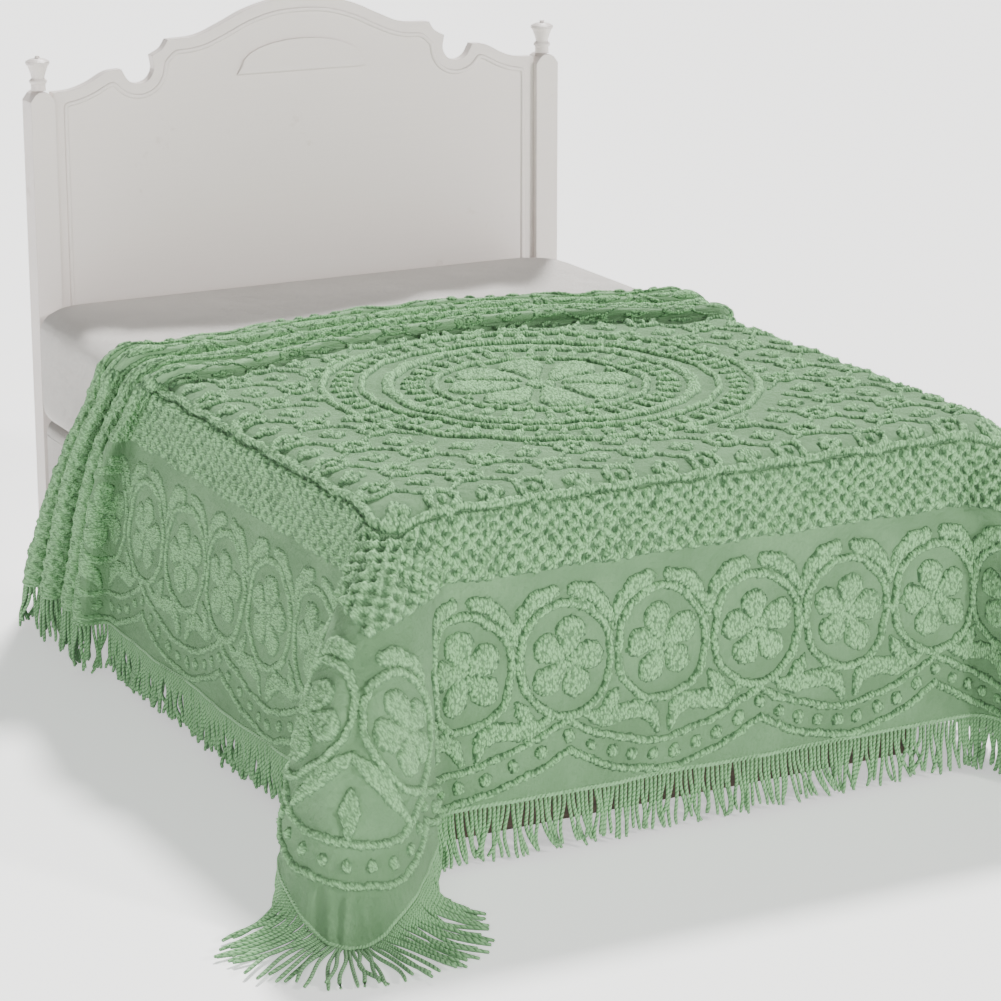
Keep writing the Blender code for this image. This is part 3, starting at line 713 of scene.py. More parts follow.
# Ranges run from the value where a mask starts to the value where it is full.
pileLook = {
    "clump": 275.0,
    "patches": 4.0,
    "lowRange": (0.0050, 0.0006),       # height of pile below which painted shade darkens the tufts towards their feet
    "lowShadeDepth": 0.88,
    # painted shade in the low valleys of the pile
    "valleyRange": (0.0074, 0.0030),
    "valleyShadeDepth": 0.38,
    "gapShadeDepth": 0.70,
    "asideWidth": 0.06,                 # the hanging sides are a little duller and calmer
    "asideCalm": 0.06,
    "asideShade": 0.26,
    "patchShade": 0.12,
    "relief": 0.0070,
}
groundLook = {
    "threads": 420.0,
    "patches": 6.0,
    "puckers": 85.0,
    "rumples": 24.0,
    "rumpleHeight": 2.0,
    "slubRange": (0.35, 0.7),
    "slubDepth": 0.3,
    "hollowRange": (0.52, 0.30),
    "hollowShadeDepth": 0.50,
    "rollSlope": 0.23,                  # the rolls start nearer the head towards the right
    "rollRange": (0.20, 0.29),
    "rollSide": (halfWidth + 0.05, halfWidth - 0.02),
    "rollPaintedLightShare": 0.85,
    "threadRelief": 0.1,
    "relief": 0.0075,
}


def pileMaterial():
    look = pileLook
    material, tree, shader = newMaterial("chenillePile", 0.95)
    place = attributeNode(tree, "clothPlace", "Vector")
    fuzz = groupNode(tree, pileFuzz, place, look["clump"])
    wear = groupNode(tree, softWear, place, look["patches"])
    height = attributeNode(tree, "pileShadeHeight", "Fac")
    # painted shade at the tufts' feet and in the pile's valleys, read from the shade heights
    low = times(tree, rampNode(tree, height, *look["lowRange"]), look["lowShadeDepth"])
    valleyShade = times(tree, rampNode(tree, height, *look["valleyRange"]), look["valleyShadeDepth"])
    across = mathNode(tree, "ABSOLUTE", splitPlace(tree, place)["X"])
    aside = rampNode(tree, across, halfWidth, halfWidth + look["asideWidth"])
    calm = mathNode(tree, "SUBTRACT", 1.0, times(tree, aside, look["asideCalm"]))
    # painted shade in the gaps between the pile's clumps, with less of it on the hanging sides
    gaps = times(tree, fuzz["Gaps"], times(tree, calm, look["gapShadeDepth"]))
    dark = larger(tree, plus(tree, valleyShade, gaps), low)
    colour = mixColour(tree, dark, chenille["pileLight"], chenille["paintedShadeGreen"])
    faded = times(tree, wear["Patches"], look["patchShade"])
    shade = plus(tree, faded, times(tree, aside, look["asideShade"]))
    feed(tree, shader["Base Color"], mixColour(tree, shade, colour, chenille["clothLight"]))
    shader["Sheen Weight"].default_value = 0.12
    shader["Sheen Roughness"].default_value = 0.6
    shader["Specular IOR Level"].default_value = 0.1
    bumpNormal(tree, shader, times(tree, fuzz["Relief"], calm), look["relief"])
    return material


def clothMaterial():
    look = groundLook
    material, tree, shader = newMaterial("cottonGround", 0.9)
    place = attributeNode(tree, "clothPlace", "Vector")
    weave = groupNode(tree, plainWeave, place, look["threads"])
    wear = groupNode(tree, softWear, place, look["patches"])
    pucker = noiseNode(tree, place, look["puckers"], 3.0, 0.6)
    rumple = times(tree, noiseNode(tree, place, look["rumples"], 2.0), look["rumpleHeight"])
    colour = mixColour(tree, wear["Patches"], chenille["clothLight"], chenille["clothDark"])
    slub = times(tree, rampNode(tree, weave["Slub"], *look["slubRange"]), look["slubDepth"])
    # painted shade in the hollows of the puckered bump
    hollowShade = times(tree, rampNode(tree, pucker, *look["hollowRange"]), look["hollowShadeDepth"])
    colour = mixColour(tree, larger(tree, slub, hollowShade), colour, chenille["clothDark"])
    split = splitPlace(tree, place)
    # painted light: the ground of the head rolls is mixed towards a lighter green
    past = mathNode(tree, "SUBTRACT", split["Y"], times(tree, split["X"], look["rollSlope"]))
    onTop = rampNode(tree, mathNode(tree, "ABSOLUTE", split["X"]), *look["rollSide"])
    rollLightMask = times(tree, rampNode(tree, past, *look["rollRange"]), onTop)
    colour = mixColour(tree, times(tree, rollLightMask, look["rollPaintedLightShare"]), colour, chenille["rollPaintedLight"])
    feed(tree, shader["Base Color"], colour)
    shader["Sheen Weight"].default_value = 0.1
    shader["Specular IOR Level"].default_value = 0.15
    threads = times(tree, plus(tree, weave["Relief"], weave["Slub"]), look["threadRelief"])
    bumpNormal(tree, shader, plus(tree, threads, plus(tree, pucker, rumple)), look["relief"])
    return material


pileFinish = pileMaterial()
groundFinish = clothMaterial()


# the sheet itself

sheetSizes = {
    "over": 0.0010,         # upper face over the middle surface
    "under": -0.0016,
    "topStep": 0.029,
    "edgeStep": 0.0095,
    "dropStep": 0.0122,
    "hemStep": 0.0068,
    "hemZone": 0.150,
    "foldStep": 0.0095,
    "topRun": 0.3,          # flat top beyond the bed's middle, for the count of its rows
    "foldFrom": 0.2,        # the same for the rows of the head rolls
    "hemWidth": 0.014,      # the turned hem stands a little proud
    "hemFade": 0.003,
    "hemRise": 0.0012,
}


def gridLines(low, high, step):
    return np.linspace(low, high, max(2, int(round((high - low) / step)) + 1))


def roundHem(outSide, outFoot):
    # the square corner of the hem drawn in to a round one
    a = np.clip((outSide - hemInner) / hemRound, 0.0, 1.0)
    b = np.clip((outFoot - hemInner) / hemRound, 0.0, 1.0)
    both = (a > 0) & (b > 0)
    side = np.where(both, hemInner + hemRound * a * np.sqrt(1 - b * b / 2), outSide)
    foot = np.where(both, hemInner + hemRound * b * np.sqrt(1 - a * a / 2), outFoot)
    return side, foot


def insideHem(across, flat):
    # distance inside the cloth's rounded outline, below zero outside it
    side = np.abs(across) - centreX - hemInner
    foot = -flat - centreY - hemInner
    corner = np.hypot(np.maximum(side, 0.0), np.maximum(foot, 0.0))
    edge = np.where((side > 0) & (foot > 0), corner, np.maximum(side, foot))
    return np.minimum(hemRound - edge, headEdge - flat)


def sheetPlaces():
    # flat places of the sheet's grid, with closer lines at edges, hem and folds
    sizes = sheetSizes
    hemStart = hemPath - sizes["hemZone"]
    top = gridLines(-centreX, centreX, sizes["topStep"])
    edge = gridLines(0.0, arcEnd, sizes["edgeStep"])[1:]
    drop = gridLines(arcEnd, hemStart, sizes["dropStep"])[1:]
    out = np.concatenate((edge, drop, gridLines(hemStart, hemPath, sizes["hemStep"])[1:]))
    lines = np.concatenate((-centreX - out[::-1], top, centreX + out))
    start = np.interp(lines, foldPlaces, foldCurves["start"])
    topRows = int(round((sizes["topRun"] + centreY) / sizes["topStep"]))
    foldRows = int(round((headEdge - sizes["foldFrom"]) / sizes["foldStep"]))
    rows = [np.full_like(lines, -centreY - step) for step in out[::-1]]
    rows += [-centreY + (start + centreY) * i / topRows for i in range(topRows)]
    rows += [start + (headEdge - start) * i / foldRows for i in range(foldRows + 1)]
    flat = np.array(rows)
    across = np.broadcast_to(lines, flat.shape)
    side, foot = roundHem(np.maximum(np.abs(across) - centreX, 0.0), np.maximum(-flat - centreY, 0.0))
    across = np.sign(across) * np.where(np.abs(across) > centreX, centreX + side, np.abs(across))
    return across, np.where(flat < -centreY, -centreY - foot, flat)


def buildSheet():
    across, flat = sheetPlaces()
    inHem = easeRamp((sheetSizes["hemWidth"] - insideHem(across, flat)) / sheetSizes["hemFade"])
    over = clothPoint(across, flat, sheetSizes["over"] + inHem * sheetSizes["hemRise"])
    under = clothPoint(across, flat, np.full_like(flat, sheetSizes["under"]))
    count = flat.size
    index = np.arange(count).reshape(flat.shape)
    faces = np.stack((index[:-1, :-1], index[:-1, 1:], index[1:, 1:], index[1:, :-1]), -1).reshape(-1, 4)
    rim = np.concatenate((index[0, :-1], index[:-1, -1], index[-1, :0:-1], index[:0:-1, 0]))
    following = np.roll(rim, -1)
    sides = np.stack((rim, rim + count, following + count, following), -1)
    quads = np.concatenate((faces, faces[:, ::-1] + count, sides))
    points = np.concatenate((over.reshape(-1, 3), under.reshape(-1, 3)))
    places = np.column_stack((across.ravel(), flat.ravel(), np.zeros(count)))
    return meshPiece("bedspreadSheet", points, quads, groundFinish, np.tile(places, (2, 1)))


sheet = buildSheet()
print("sheet built:", len(sheet.data.polygons), "faces")


# The tufted pattern is charted as a map of pile heights over the flat cloth.

pile = {
    "pitch": 0.00376,
    "sink": -0.0016,
    "seed": 11,
    "patchSeed": 8,
    "edgeSeed": 3,
    "ragged": 0.0012,       # unevenness from tuft to tuft, and over a few tufts
    "lumpy": 0.0008,
    "lumpSpread": 2.6,
    "rib": 0.0005,
    "roughFrom": 0.006,     # pile of this height and more is as uneven as it gets
    "edge": 0.0011,         # raggedness of each motif's outline
    "edgeSpread": 1.7,
    "edgeSlope": 0.9,
    "warp": 0.0016,         # hand-guided wander of the whole pattern
    "margin": 0.008,        # room round a motif for its wander
    "ribbonMargin": 0.01,
    "shoulder": 0.65,       # share of a dot's radius that rounds over
    "cord": 0.0090,
    "petal": 0.0080,
    "petalSoft": 0.010,
    "dot": 0.0092,
    "band": 0.0108,
}
middleFlat = halfWidth - halfLength     # the pattern's centre along the cloth


def patternLine(low, high):
    return np.arange(math.floor(low / pile["pitch"]), math.ceil(high / pile["pitch"]) + 1) * pile["pitch"]


acrossLine = patternLine(-centreX - hemPath, centreX + hemPath)
flatLine = patternLine(-centreY - hemPath, headEdge)
trueAcross, trueFlat = np.meshgrid(acrossLine, flatLine)
heightMap = np.full(trueAcross.shape, pile["sink"])


def spreadOut(values):
    # each value mixed with its neighbours
    padded = np.pad(values, 1, mode="wrap")
    return (2 * values + padded[:-2, 1:-1] + padded[2:, 1:-1] + padded[1:-1, :-2] + padded[1:-1, 2:]) / 6


def wavering(first, second, phase):
    wave = np.sin(47 * first + 31 * second + phase)
    wave = wave + 0.7 * np.sin(83 * second - 29 * first + 2 * phase)
    return pile["warp"] * (wave + 0.5 * np.sin(127 * first + 61 * second - phase))


acrossMap = trueAcross + wavering(trueFlat, trueAcross, 0.4)
flatMap = trueFlat + wavering(trueAcross, trueFlat, 2.1)
patchNoise = np.random.default_rng(pile["patchSeed"]).normal(0.0, 1.0, heightMap.shape)
for _ in range(5):
    patchNoise = spreadOut(patchNoise)
patchNoise = patchNoise / patchNoise.std()
edgeRandom = np.random.default_rng(pile["edgeSeed"])
edgeNoise = spreadOut(edgeRandom.normal(0.0, pile["edgeSpread"] * pile["edge"], heightMap.shape))


def raisePile(window, depth, height, soft):
    # pile with a round shoulder where depth, the distance inside a motif, is positive
    depth = depth + edgeNoise[window]
    share = np.clip(depth / soft, 0.0, 1.0)
    domed = np.where(depth > 0.0, height * np.sqrt(1.0 - (1.0 - share) ** 2), pile["edgeSlope"] * depth)
    heightMap[window] = np.maximum(heightMap[window], domed)


def windowOver(acrossEnds, flatEnds):
    # the part of the map between two places across and two along
    col = np.searchsorted(acrossLine, acrossEnds)
    row = np.searchsorted(flatLine, flatEnds)
    return slice(*row), slice(*col)


def windowAt(across, flat, reach):
    return windowOver((across - reach, across + reach), (flat - reach, flat + reach))


def ribbonDepth(x, y, line):
    # depth inside a rounded ribbon through (x, y, half width) stations
    depth = np.full(x.shape, -1.0)
    for (ax, ay, ar), (bx, by, br) in zip(line, line[1:]):
        length = max((bx - ax) ** 2 + (by - ay) ** 2, 1e-12)
        t = np.clip(((x - ax) * (bx - ax) + (y - ay) * (by - ay)) / length, 0.0, 1.0)
        off = np.hypot(x - ax - t * (bx - ax), y - ay - t * (by - ay))
        depth = np.maximum(depth, ar + (br - ar) * t - off)
    return depth


def fanned(radius, angle, count, shift=0.0):
    # places turned on to the nearest of evenly spaced rays, and the number of that ray
    step = 2 * math.pi / count
    share = angle / step + shift
    ray = np.round(share)
    local = (share - ray) * step
    return radius * np.cos(local), radius * np.sin(local), ray


def dotAt(across, flat, radius, height):
    window = windowAt(across, flat, radius + pile["margin"])
    depth = radius - np.hypot(acrossMap[window] - across, flatMap[window] - flat)
    raisePile(window, depth, height, radius * pile["shoulder"])


def ribbonAt(line, height, soft):
    xs, ys, halves = (np.array([station[k] for station in line]) for k in range(3))
    margin = halves.max() + pile["ribbonMargin"]
    window = windowOver((xs.min() - margin, xs.max() + margin), (ys.min() - margin, ys.max() + margin))
    raisePile(window, ribbonDepth(acrossMap[window], flatMap[window], line), height, soft)


# middle medallion: rings by radius, dashes between them and a flower of round petals
medallion = {
    "reach": 0.462,
    "margin": 0.02,
    "rings": [
        {"radius": 0.219, "half": 0.0075},
        {"radius": 0.315, "half": 0.0135},
        {"radius": 0.368, "half": 0.0065},
        {"radius": 0.449, "half": 0.0085},
    ],
    "ringHeight": pile["cord"] * 1.1,
    "dashes": [
        {"from": 0.238, "to": 0.290, "count": 38, "half": 0.0100},
        {"from": 0.386, "to": 0.430, "count": 58, "half": 0.0105},
    ],
    "petals": 8,
    "petalTurn": 0.2,
    "petal": [(0.058, 0.0, 0.014), (0.146, 0.0, 0.049)],
    "petalHeight": pile["petal"] * 1.15,
    "petalSoft": 0.016,
    "bead": {"radius": 0.189, "half": 0.0115, "soft": 0.010},       # between the petals' tips
    "heart": {"half": 0.030, "height": pile["petal"] * 1.2, "soft": 0.02},
}


def stampMedallion():
    window = windowAt(0.0, middleFlat, medallion["reach"] + medallion["margin"])
    x, y = acrossMap[window], flatMap[window] - middleFlat
    radius, angle = np.hypot(x, y), np.arctan2(y, x)
    for ring in medallion["rings"]:
        depth = ring["half"] - np.abs(radius - ring["radius"])
        raisePile(window, depth, medallion["ringHeight"], ring["half"])
    for row in medallion["dashes"]:
        out, off, _ = fanned(radius, angle, row["count"])
        half = row["half"]
        depth = ribbonDepth(out, off, [(row["from"] + half, 0.0, half), (row["to"] - half, 0.0, half)])
        raisePile(window, depth, pile["dot"], half)
    turned = angle + medallion["petalTurn"]
    out, off, _ = fanned(radius, turned, medallion["petals"])
    depth = ribbonDepth(out, off, medallion["petal"])
    raisePile(window, depth, medallion["petalHeight"], medallion["petalSoft"])
    bead, heart = medallion["bead"], medallion["heart"]
    out, off, _ = fanned(radius, turned, medallion["petals"], 0.5)
    raisePile(window, bead["half"] - np.hypot(out - bead["radius"], off), pile["dot"], bead["soft"])
    raisePile(window, heart["half"] - radius, heart["height"], heart["soft"])


# field: hollow rosettes on a diagonal lattice, corded together, with a cluster in each gap
field = {
    "rows": 15,
    "cols": 7,              # each way from the middle
    "acrossPitch": 0.0925,
    "flatPitch": 0.0955,
    "firstRow": 0.0255,     # last row of rosettes inside the frame cord
    "edgeGap": 0.03,
    "ringReach": 0.048,
    "ringRadius": 0.0285,
    "ringHalf": 0.0085,
    "ringSoft": 0.006,
    "knobs": 7,
    "knobWidth": 0.16,
    "knobHeight": 0.10,
    "middle": 0.0105,
    "medallionGap": 0.004,
    "clusterGap": 0.006,
    "clusterOff": 0.0155,
    "clusterDot": 0.0130,
    "clusterSpin": 0.1,
    "rosetteSpin": (0.7, 0.4),      # for each column and each row
    "height": 0.0070,
    "link": 0.0044,
    "linkShares": (0.26, 0.35, 0.43, 0.50, 0.57, 0.65, 0.74),
    "linkHeight": 0.9,      # share of the rosettes' height
    "linkBend": 0.0035,
    "linkWaves": 26,
    "linkEdge": (0.010, 0.018),
}


def fieldPile(window, depth, height, soft):
    # pile of the field, cut off where the medallion's outer ring runs
    clear = np.hypot(acrossMap[window], flatMap[window] - middleFlat) - medallion["rings"][-1]["radius"]
    raisePile(window, np.minimum(depth, clear), height, soft)


def fieldDot(across, flat, radius):
    window = windowAt(across, flat, radius + pile["margin"])
    depth = radius - np.hypot(acrossMap[window] - across, flatMap[window] - flat)
    fieldPile(window, depth, field["height"], radius * pile["shoulder"])


def stampRosette(across, flat, spin):
    # a knobbly ring with a small tuft in its hollow middle
    window = windowAt(across, flat, field["ringReach"])
    x, y = acrossMap[window] - across, flatMap[window] - flat
    knob = np.cos(field["knobs"] * (np.arctan2(y, x) - spin))
    half = field["ringHalf"] * (1.0 + field["knobWidth"] * knob)
    height = field["height"] * (1.0 + field["knobHeight"] * knob)
    fieldPile(window, half - np.abs(np.hypot(x, y) - field["ringRadius"]), height, field["ringSoft"])
    fieldDot(across, flat, field["middle"])


def stampCluster(across, flat, spin):
    off = field["clusterOff"]
    for k in range(4):
        angle = math.pi / 2 * k + spin
        fieldDot(across + off * math.cos(angle), flat + off * math.sin(angle), field["clusterDot"])


def stampLink(across, flat, side, bend):
    # a cord from one rosette to the next, on the diagonal
    line = []
    for share in field["linkShares"]:
        x = across + side * field["acrossPitch"] * share
        wave = math.sin(field["linkWaves"] * share + bend)
        y = flat + field["flatPitch"] * share + field["linkBend"] * wave
        acrossGap, flatGap = field["linkEdge"]
        inFrame = abs(x) < halfWidth - acrossGap and y < middleFlat + halfWidth - flatGap
        if inFrame and math.hypot(x, y - middleFlat) > medallion["reach"] + field["medallionGap"]:
            line.append((x, y, field["link"]))
    if len(line) > 1:
        ribbonAt(line, field["height"] * field["linkHeight"], field["link"])


def stampField():
    for row in range(field["rows"]):
        flat = -halfLength + field["firstRow"] + row * field["flatPitch"]
        for col in range(-field["cols"], field["cols"] + 1):
            across = col * field["acrossPitch"]
            away = math.hypot(across, flat - middleFlat) - medallion["reach"]
            edge = halfWidth - field["edgeGap"]
            if abs(across) > edge or flat > middleFlat + edge:
                continue
            if (row + col) % 2:
                if away > field["clusterGap"]:
                    stampCluster(across, flat, field["clusterSpin"] * math.sin(5 * col + row))
                continue
            if away > field["medallionGap"]:
                colSpin, rowSpin = field["rosetteSpin"]
                stampRosette(across, flat, colSpin * col + rowSpin * row)
            for side in (-1, 1):
                stampLink(across, flat, side, col)


# frame cord and pebbled band, square round the field with mitred corners
bandSizes = {
    "cordHalf": 0.0080,
    "cordHeight": pile["cord"] * 0.90,
    "cordIn": 0.001,
    "cornerRound": 0.055,
    "start": 0.0108,
    "end": 0.1400,
    "pitch": 0.0335,
    "headGap": 0.010,       # past this the band fills both corners by the head
    "shoulder": 0.006,
    "floor": 0.06,          # height between the pebbles, as a share
    "ridge": 0.64,
    "ridgeGain": 2.3,
    "ridgeCut": 1.3,
    "ridgePower": 0.8,
    "knot": 0.30,           # where two ridges cross
    "patches": 0.20,
    "ragged": 0.0016,
    "cornerDepth": 0.01,
}
ridgeShifts = [     # how far the two sets of ridges wander, and in what waves
    {"shift": 0.0050, "waves": 41, "bend": 1.3, "bendWaves": 23, "slow": 0.0035, "slowWaves": 37},
    {"shift": 0.0045, "waves": 53, "bend": 1.1, "bendWaves": 31, "slow": 0.0030, "slowWaves": 29},
]


def ridgeShift(first, second, row):
    bent = np.sin(row["waves"] * first + row["bend"] * np.sin(row["bendWaves"] * second))
    return row["shift"] * bent + row["slow"] * np.sin(row["slowWaves"] * second)


def stampBand():
    everywhere = (slice(None), slice(None))
    besideMiddle, alongMiddle = np.abs(acrossMap), np.abs(flatMap - middleFlat)
    outward = np.maximum(besideMiddle, alongMiddle) - halfWidth
    square = halfWidth - bandSizes["cornerRound"]
    a, b = besideMiddle - square, alongMiddle - square
    frameOut = np.hypot(np.maximum(a, 0.0), np.maximum(b, 0.0)) + np.minimum(np.maximum(a, b), 0.0)
    frameOut = frameOut - bandSizes["cornerRound"]
    cordDepth = bandSizes["cordHalf"] - np.abs(frameOut + bandSizes["cordIn"])
    raisePile(everywhere, cordDepth, bandSizes["cordHeight"], bandSizes["cordHalf"])
    wander = ridgeShift(acrossMap, flatMap, ridgeShifts[0])
    drift = ridgeShift(flatMap, acrossMap, ridgeShifts[1])
    ragged = bandSizes["ragged"] * np.sin(260 * acrossMap) * np.sin(230 * flatMap + 2.0)
    first = np.abs(np.cos(math.pi * (acrossMap + flatMap + wander) / bandSizes["pitch"]))
    second = np.abs(np.cos(math.pi * (acrossMap - flatMap + drift) / bandSizes["pitch"]))
    ridge = np.maximum(first, second) * bandSizes["ridgeGain"] - bandSizes["ridgeCut"]
    ridge = np.clip(ridge, 0.0, 1.0) ** bandSizes["ridgePower"]
    level = bandSizes["floor"] + bandSizes["ridge"] * ridge + bandSizes["knot"] * first * second
    level = level * (1.0 + bandSizes["patches"] * patchNoise)
    inside = np.minimum(frameOut - bandSizes["start"], bandSizes["end"] - outward) + ragged
    pastHead = flatMap - middleFlat - halfWidth - bandSizes["headGap"]
    headCorner = np.minimum(pastHead, np.abs(acrossMap) - halfWidth - bandSizes["headGap"])
    inside = np.maximum(inside, np.minimum(headCorner, bandSizes["cornerDepth"]))
    shoulder = np.sqrt(1.0 - (1.0 - np.clip(inside / bandSizes["shoulder"], 0.0, 1.0)) ** 2)
    raised = np.where(inside > 0.0, pile["band"] * level * shoulder, pile["edgeSlope"] * inside)
    heightMap[:] = np.maximum(heightMap, raised)


# border: corded circles with flowers, leaf pairs, sprigs and double swags
border = {
    "circleDrop": 0.314,
    "circleHalf": (0.0955, 0.1075),
    "circleReach": 0.175,
    "circleUneven": 0.012,
    "cordHalf": 0.0080,
    "petals": 5,
    "petalTurn": 0.25,      # flowers are turned a little, each its own way
    "petalUneven": 0.06,
    "petal": [(0.014, 0.0, 0.012), (0.0490, 0.0, 0.0305)],
    "petalSoft": 0.012,
    "heart": {"half": 0.010, "height": pile["petal"] * 0.5, "soft": 0.006},
    "leafGap": 0.0105,
    "swagTop": 0.431,
    "swagDip": 0.070,
    "swagPower": 1.75,
    "swagGap": 0.059,
    "swagHalf": 0.0072,
    "swagHeight": pile["cord"] * 0.9,
    "swagWindow": (0.48, 0.12),
    "fullSpan": 0.2075,     # half a swag at which its sprigs have their full size
    "dots": 9,
    "dotShift": 0.02,       # in gaps between dots
    "dot": 0.0118,
}
shoulderLeaf = [
    {"angle": 21.0, "half": 0.0045}, {"angle": 34.0, "half": 0.0100}, {"angle": 48.0, "half": 0.0150},
    {"angle": 63.0, "half": 0.0175}, {"angle": 79.0, "half": 0.0145},
]
sprigBody = [
    {"out": 0.180, "down": 0.414, "half": 0.005}, {"out": 0.152, "down": 0.433, "half": 0.011},
    {"out": 0.120, "down": 0.440, "half": 0.0175}, {"out": 0.086, "down": 0.434, "half": 0.0175},
    {"out": 0.054, "down": 0.433, "half": 0.0190}, {"out": 0.028, "down": 0.448, "half": 0.0165},
    {"out": 0.015, "down": 0.480, "half": 0.0070},
]
sprigTip = [
    {"out": 0.130, "down": 0.430, "half": 0.015}, {"out": 0.113, "down": 0.404, "half": 0.0155},
    {"out": 0.101, "down": 0.384, "half": 0.0050},
]
circlePitch = 0.21125
regular = [k * circlePitch for k in range(-4, 5)]
borderEdges = [
    {"edge": "foot", "circles": [-0.845, -0.535, -0.3275, -0.12, 0.0875, 0.295, 0.5025, 0.692, 0.880],
     "cusps": [-0.845, -0.3275, 0.0875, 0.5025, 0.880]},
    {"edge": "left", "circles": [middleFlat + s for s in regular],
     "cusps": [middleFlat + s for s in regular[::2]]},
    {"edge": "right", "circles": [middleFlat + s for s in [-0.810, -0.6185] + regular[2:]],
     "cusps": [middleFlat + s for s in [-0.810] + regular[2::2]]},
    {"edge": "head", "circles": regular, "cusps": regular[::2]},
]
edgePlaces = {      # from along an edge and down its drop, to across and along the flat cloth
    "foot": lambda s, d: (s, -halfLength - d),
    "head": lambda s, d: (s, middleFlat + halfWidth + d),
    "left": lambda s, d: (-halfWidth - d, s),
    "right": lambda s, d: (halfWidth + d, s),
}


def edgeLocal(edge, window, s, d):
    # local places, along the edge and down the drop, round a border point
    if edge == "foot":
        return acrossMap[window] - s, -flatMap[window] - halfLength - d
    if edge == "head":
        return acrossMap[window] - s, flatMap[window] - middleFlat - halfWidth - d
    return flatMap[window] - s, np.abs(acrossMap[window]) - halfWidth - d


def stampCircle(edge, s, number, leafSides):
    window = windowAt(*edgePlaces[edge](s, border["circleDrop"]), border["circleReach"])
    x, y = edgeLocal(edge, window, s, border["circleDrop"])
    wide, tall = border["circleHalf"]
    wobble = 1.0 + border["circleUneven"] * np.sin(3 * np.arctan2(y, x) + 2.0 * number)
    ring = np.hypot(x / wide, y / tall) / wobble
    ringDepth = border["cordHalf"] - np.abs(ring - 1.0) * 0.5 * (wide + tall)
    raisePile(window, ringDepth, pile["cord"], border["cordHalf"])
    radius = np.hypot(x, y)
    turned = np.arctan2(-y, x) - math.pi / 2 - border["petalTurn"] * math.sin(2.3 * number)
    out, off, ray = fanned(radius, turned, border["petals"])
    size = 1.0 + border["petalUneven"] * np.sin(ray * 2.1 + number)
    raisePile(window, ribbonDepth(out / size, off, border["petal"]), pile["petal"], border["petalSoft"])
    heart = border["heart"]
    raisePile(window, heart["half"] - radius, heart["height"], heart["soft"])
    for side in leafSides:
        line = []
        for leaf in shoulderLeaf:
            angle = math.radians(leaf["angle"])
            out = leaf["half"] + border["leafGap"]
            leafX, leafY = side * (wide + out) * math.cos(angle), -(tall + out) * math.sin(angle)
            line.append((leafX, leafY, leaf["half"]))
        raisePile(window, ribbonDepth(x, y, line), pile["petal"], pile["petalSoft"])


def stampSwag(edge, first, second, circles):
    middle, half = (first + second) / 2, (second - first) / 2
    nearest = min(circles, key=lambda s: abs(s - middle)) - middle
    windowDown, windowMore = border["swagWindow"]
    window = windowAt(*edgePlaces[edge](middle, windowDown), half + windowMore)
    x, y = edgeLocal(edge, window, middle, 0.0)
    power = border["swagPower"]
    share = np.clip(np.abs(x) / half, 0.0, 1.0)
    dip = border["swagTop"] + border["swagDip"] * (1.0 - share ** power)
    slope = border["swagDip"] / half * power * share ** (power - 1)
    within = np.where(np.abs(x) <= half, 0.0, np.abs(x) - half)
    for lower in (0.0, border["swagGap"]):
        off = np.hypot(np.abs(y - dip - lower) / np.sqrt(1.0 + slope ** 2), within)
        raisePile(window, border["swagHalf"] - off, border["swagHeight"], border["swagHalf"])
    for k in range(border["dots"]):
        t = (k + border["dotShift"]) / border["dots"] * 2.0 - 1.0
        down = border["swagTop"] + border["swagDip"] * (1.0 - abs(t) ** power) + border["swagGap"] / 2
        dotAt(*edgePlaces[edge](middle + t * half, down), border["dot"], pile["dot"])
    scale = min(1.0, half / border["fullSpan"])
    for side in (-1, 1):
        for rows in (sprigBody, sprigTip):
            line = [(nearest + side * row["out"] * scale, row["down"], row["half"]) for row in rows]
            raisePile(window, ribbonDepth(x, y, line), pile["petal"], pile["petalSoft"])


# The foot corners have their own swags, leaves and petal, out and down from the bed's corner.
cornerSwags = [
    {"out": 0.159, "down": 0.431}, {"out": 0.204, "down": 0.442}, {"out": 0.261, "down": 0.456},
    {"out": 0.323, "down": 0.449}, {"out": 0.399, "down": 0.399},
]
cornerLowSwags = [
    {"out": 0.159, "down": 0.490}, {"out": 0.207, "down": 0.506}, {"out": 0.268, "down": 0.520},
    {"out": 0.340, "down": 0.516}, {"out": 0.452, "down": 0.452},
]
cornerLeaf = [
    {"out": 0.292, "down": 0.292, "half": 0.012}, {"out": 0.276, "down": 0.345, "half": 0.0175},
    {"out": 0.262, "down": 0.392, "half": 0.0165}, {"out": 0.246, "down": 0.440, "half": 0.008},
]
cornerPetal = [
    {"out": 0.338, "down": 0.338, "half": 0.013}, {"out": 0.358, "down": 0.358, "half": 0.024},
    {"out": 0.386, "down": 0.386, "half": 0.013},
]
gapPetal = {"along": -0.690, "line": [(0.27, 0.006), (0.30, 0.0135), (0.35, 0.007)]}


def easedLine(rows):
    # a smooth mirrored line through corner stations, from one cusp to the other
    steps = 5
    half = [(row["out"], row["down"]) for row in rows]
    points = np.array(half + [(b, a) for a, b in half[-2::-1]])
    line = []
    for i in range(len(points) - 1):
        a, b = points[i], points[i + 1]
        before = points[max(i - 1, 0)]
        after = points[min(i + 2, len(points) - 1)]
        for k in range(steps):
            t = k / steps
            line.append(0.5 * (2 * a + (b - before) * t + (2 * before - 5 * a + 4 * b - after) * t * t
                               + (3 * a - before - 3 * b + after) * t ** 3))
    return np.array(line + [points[-1]])


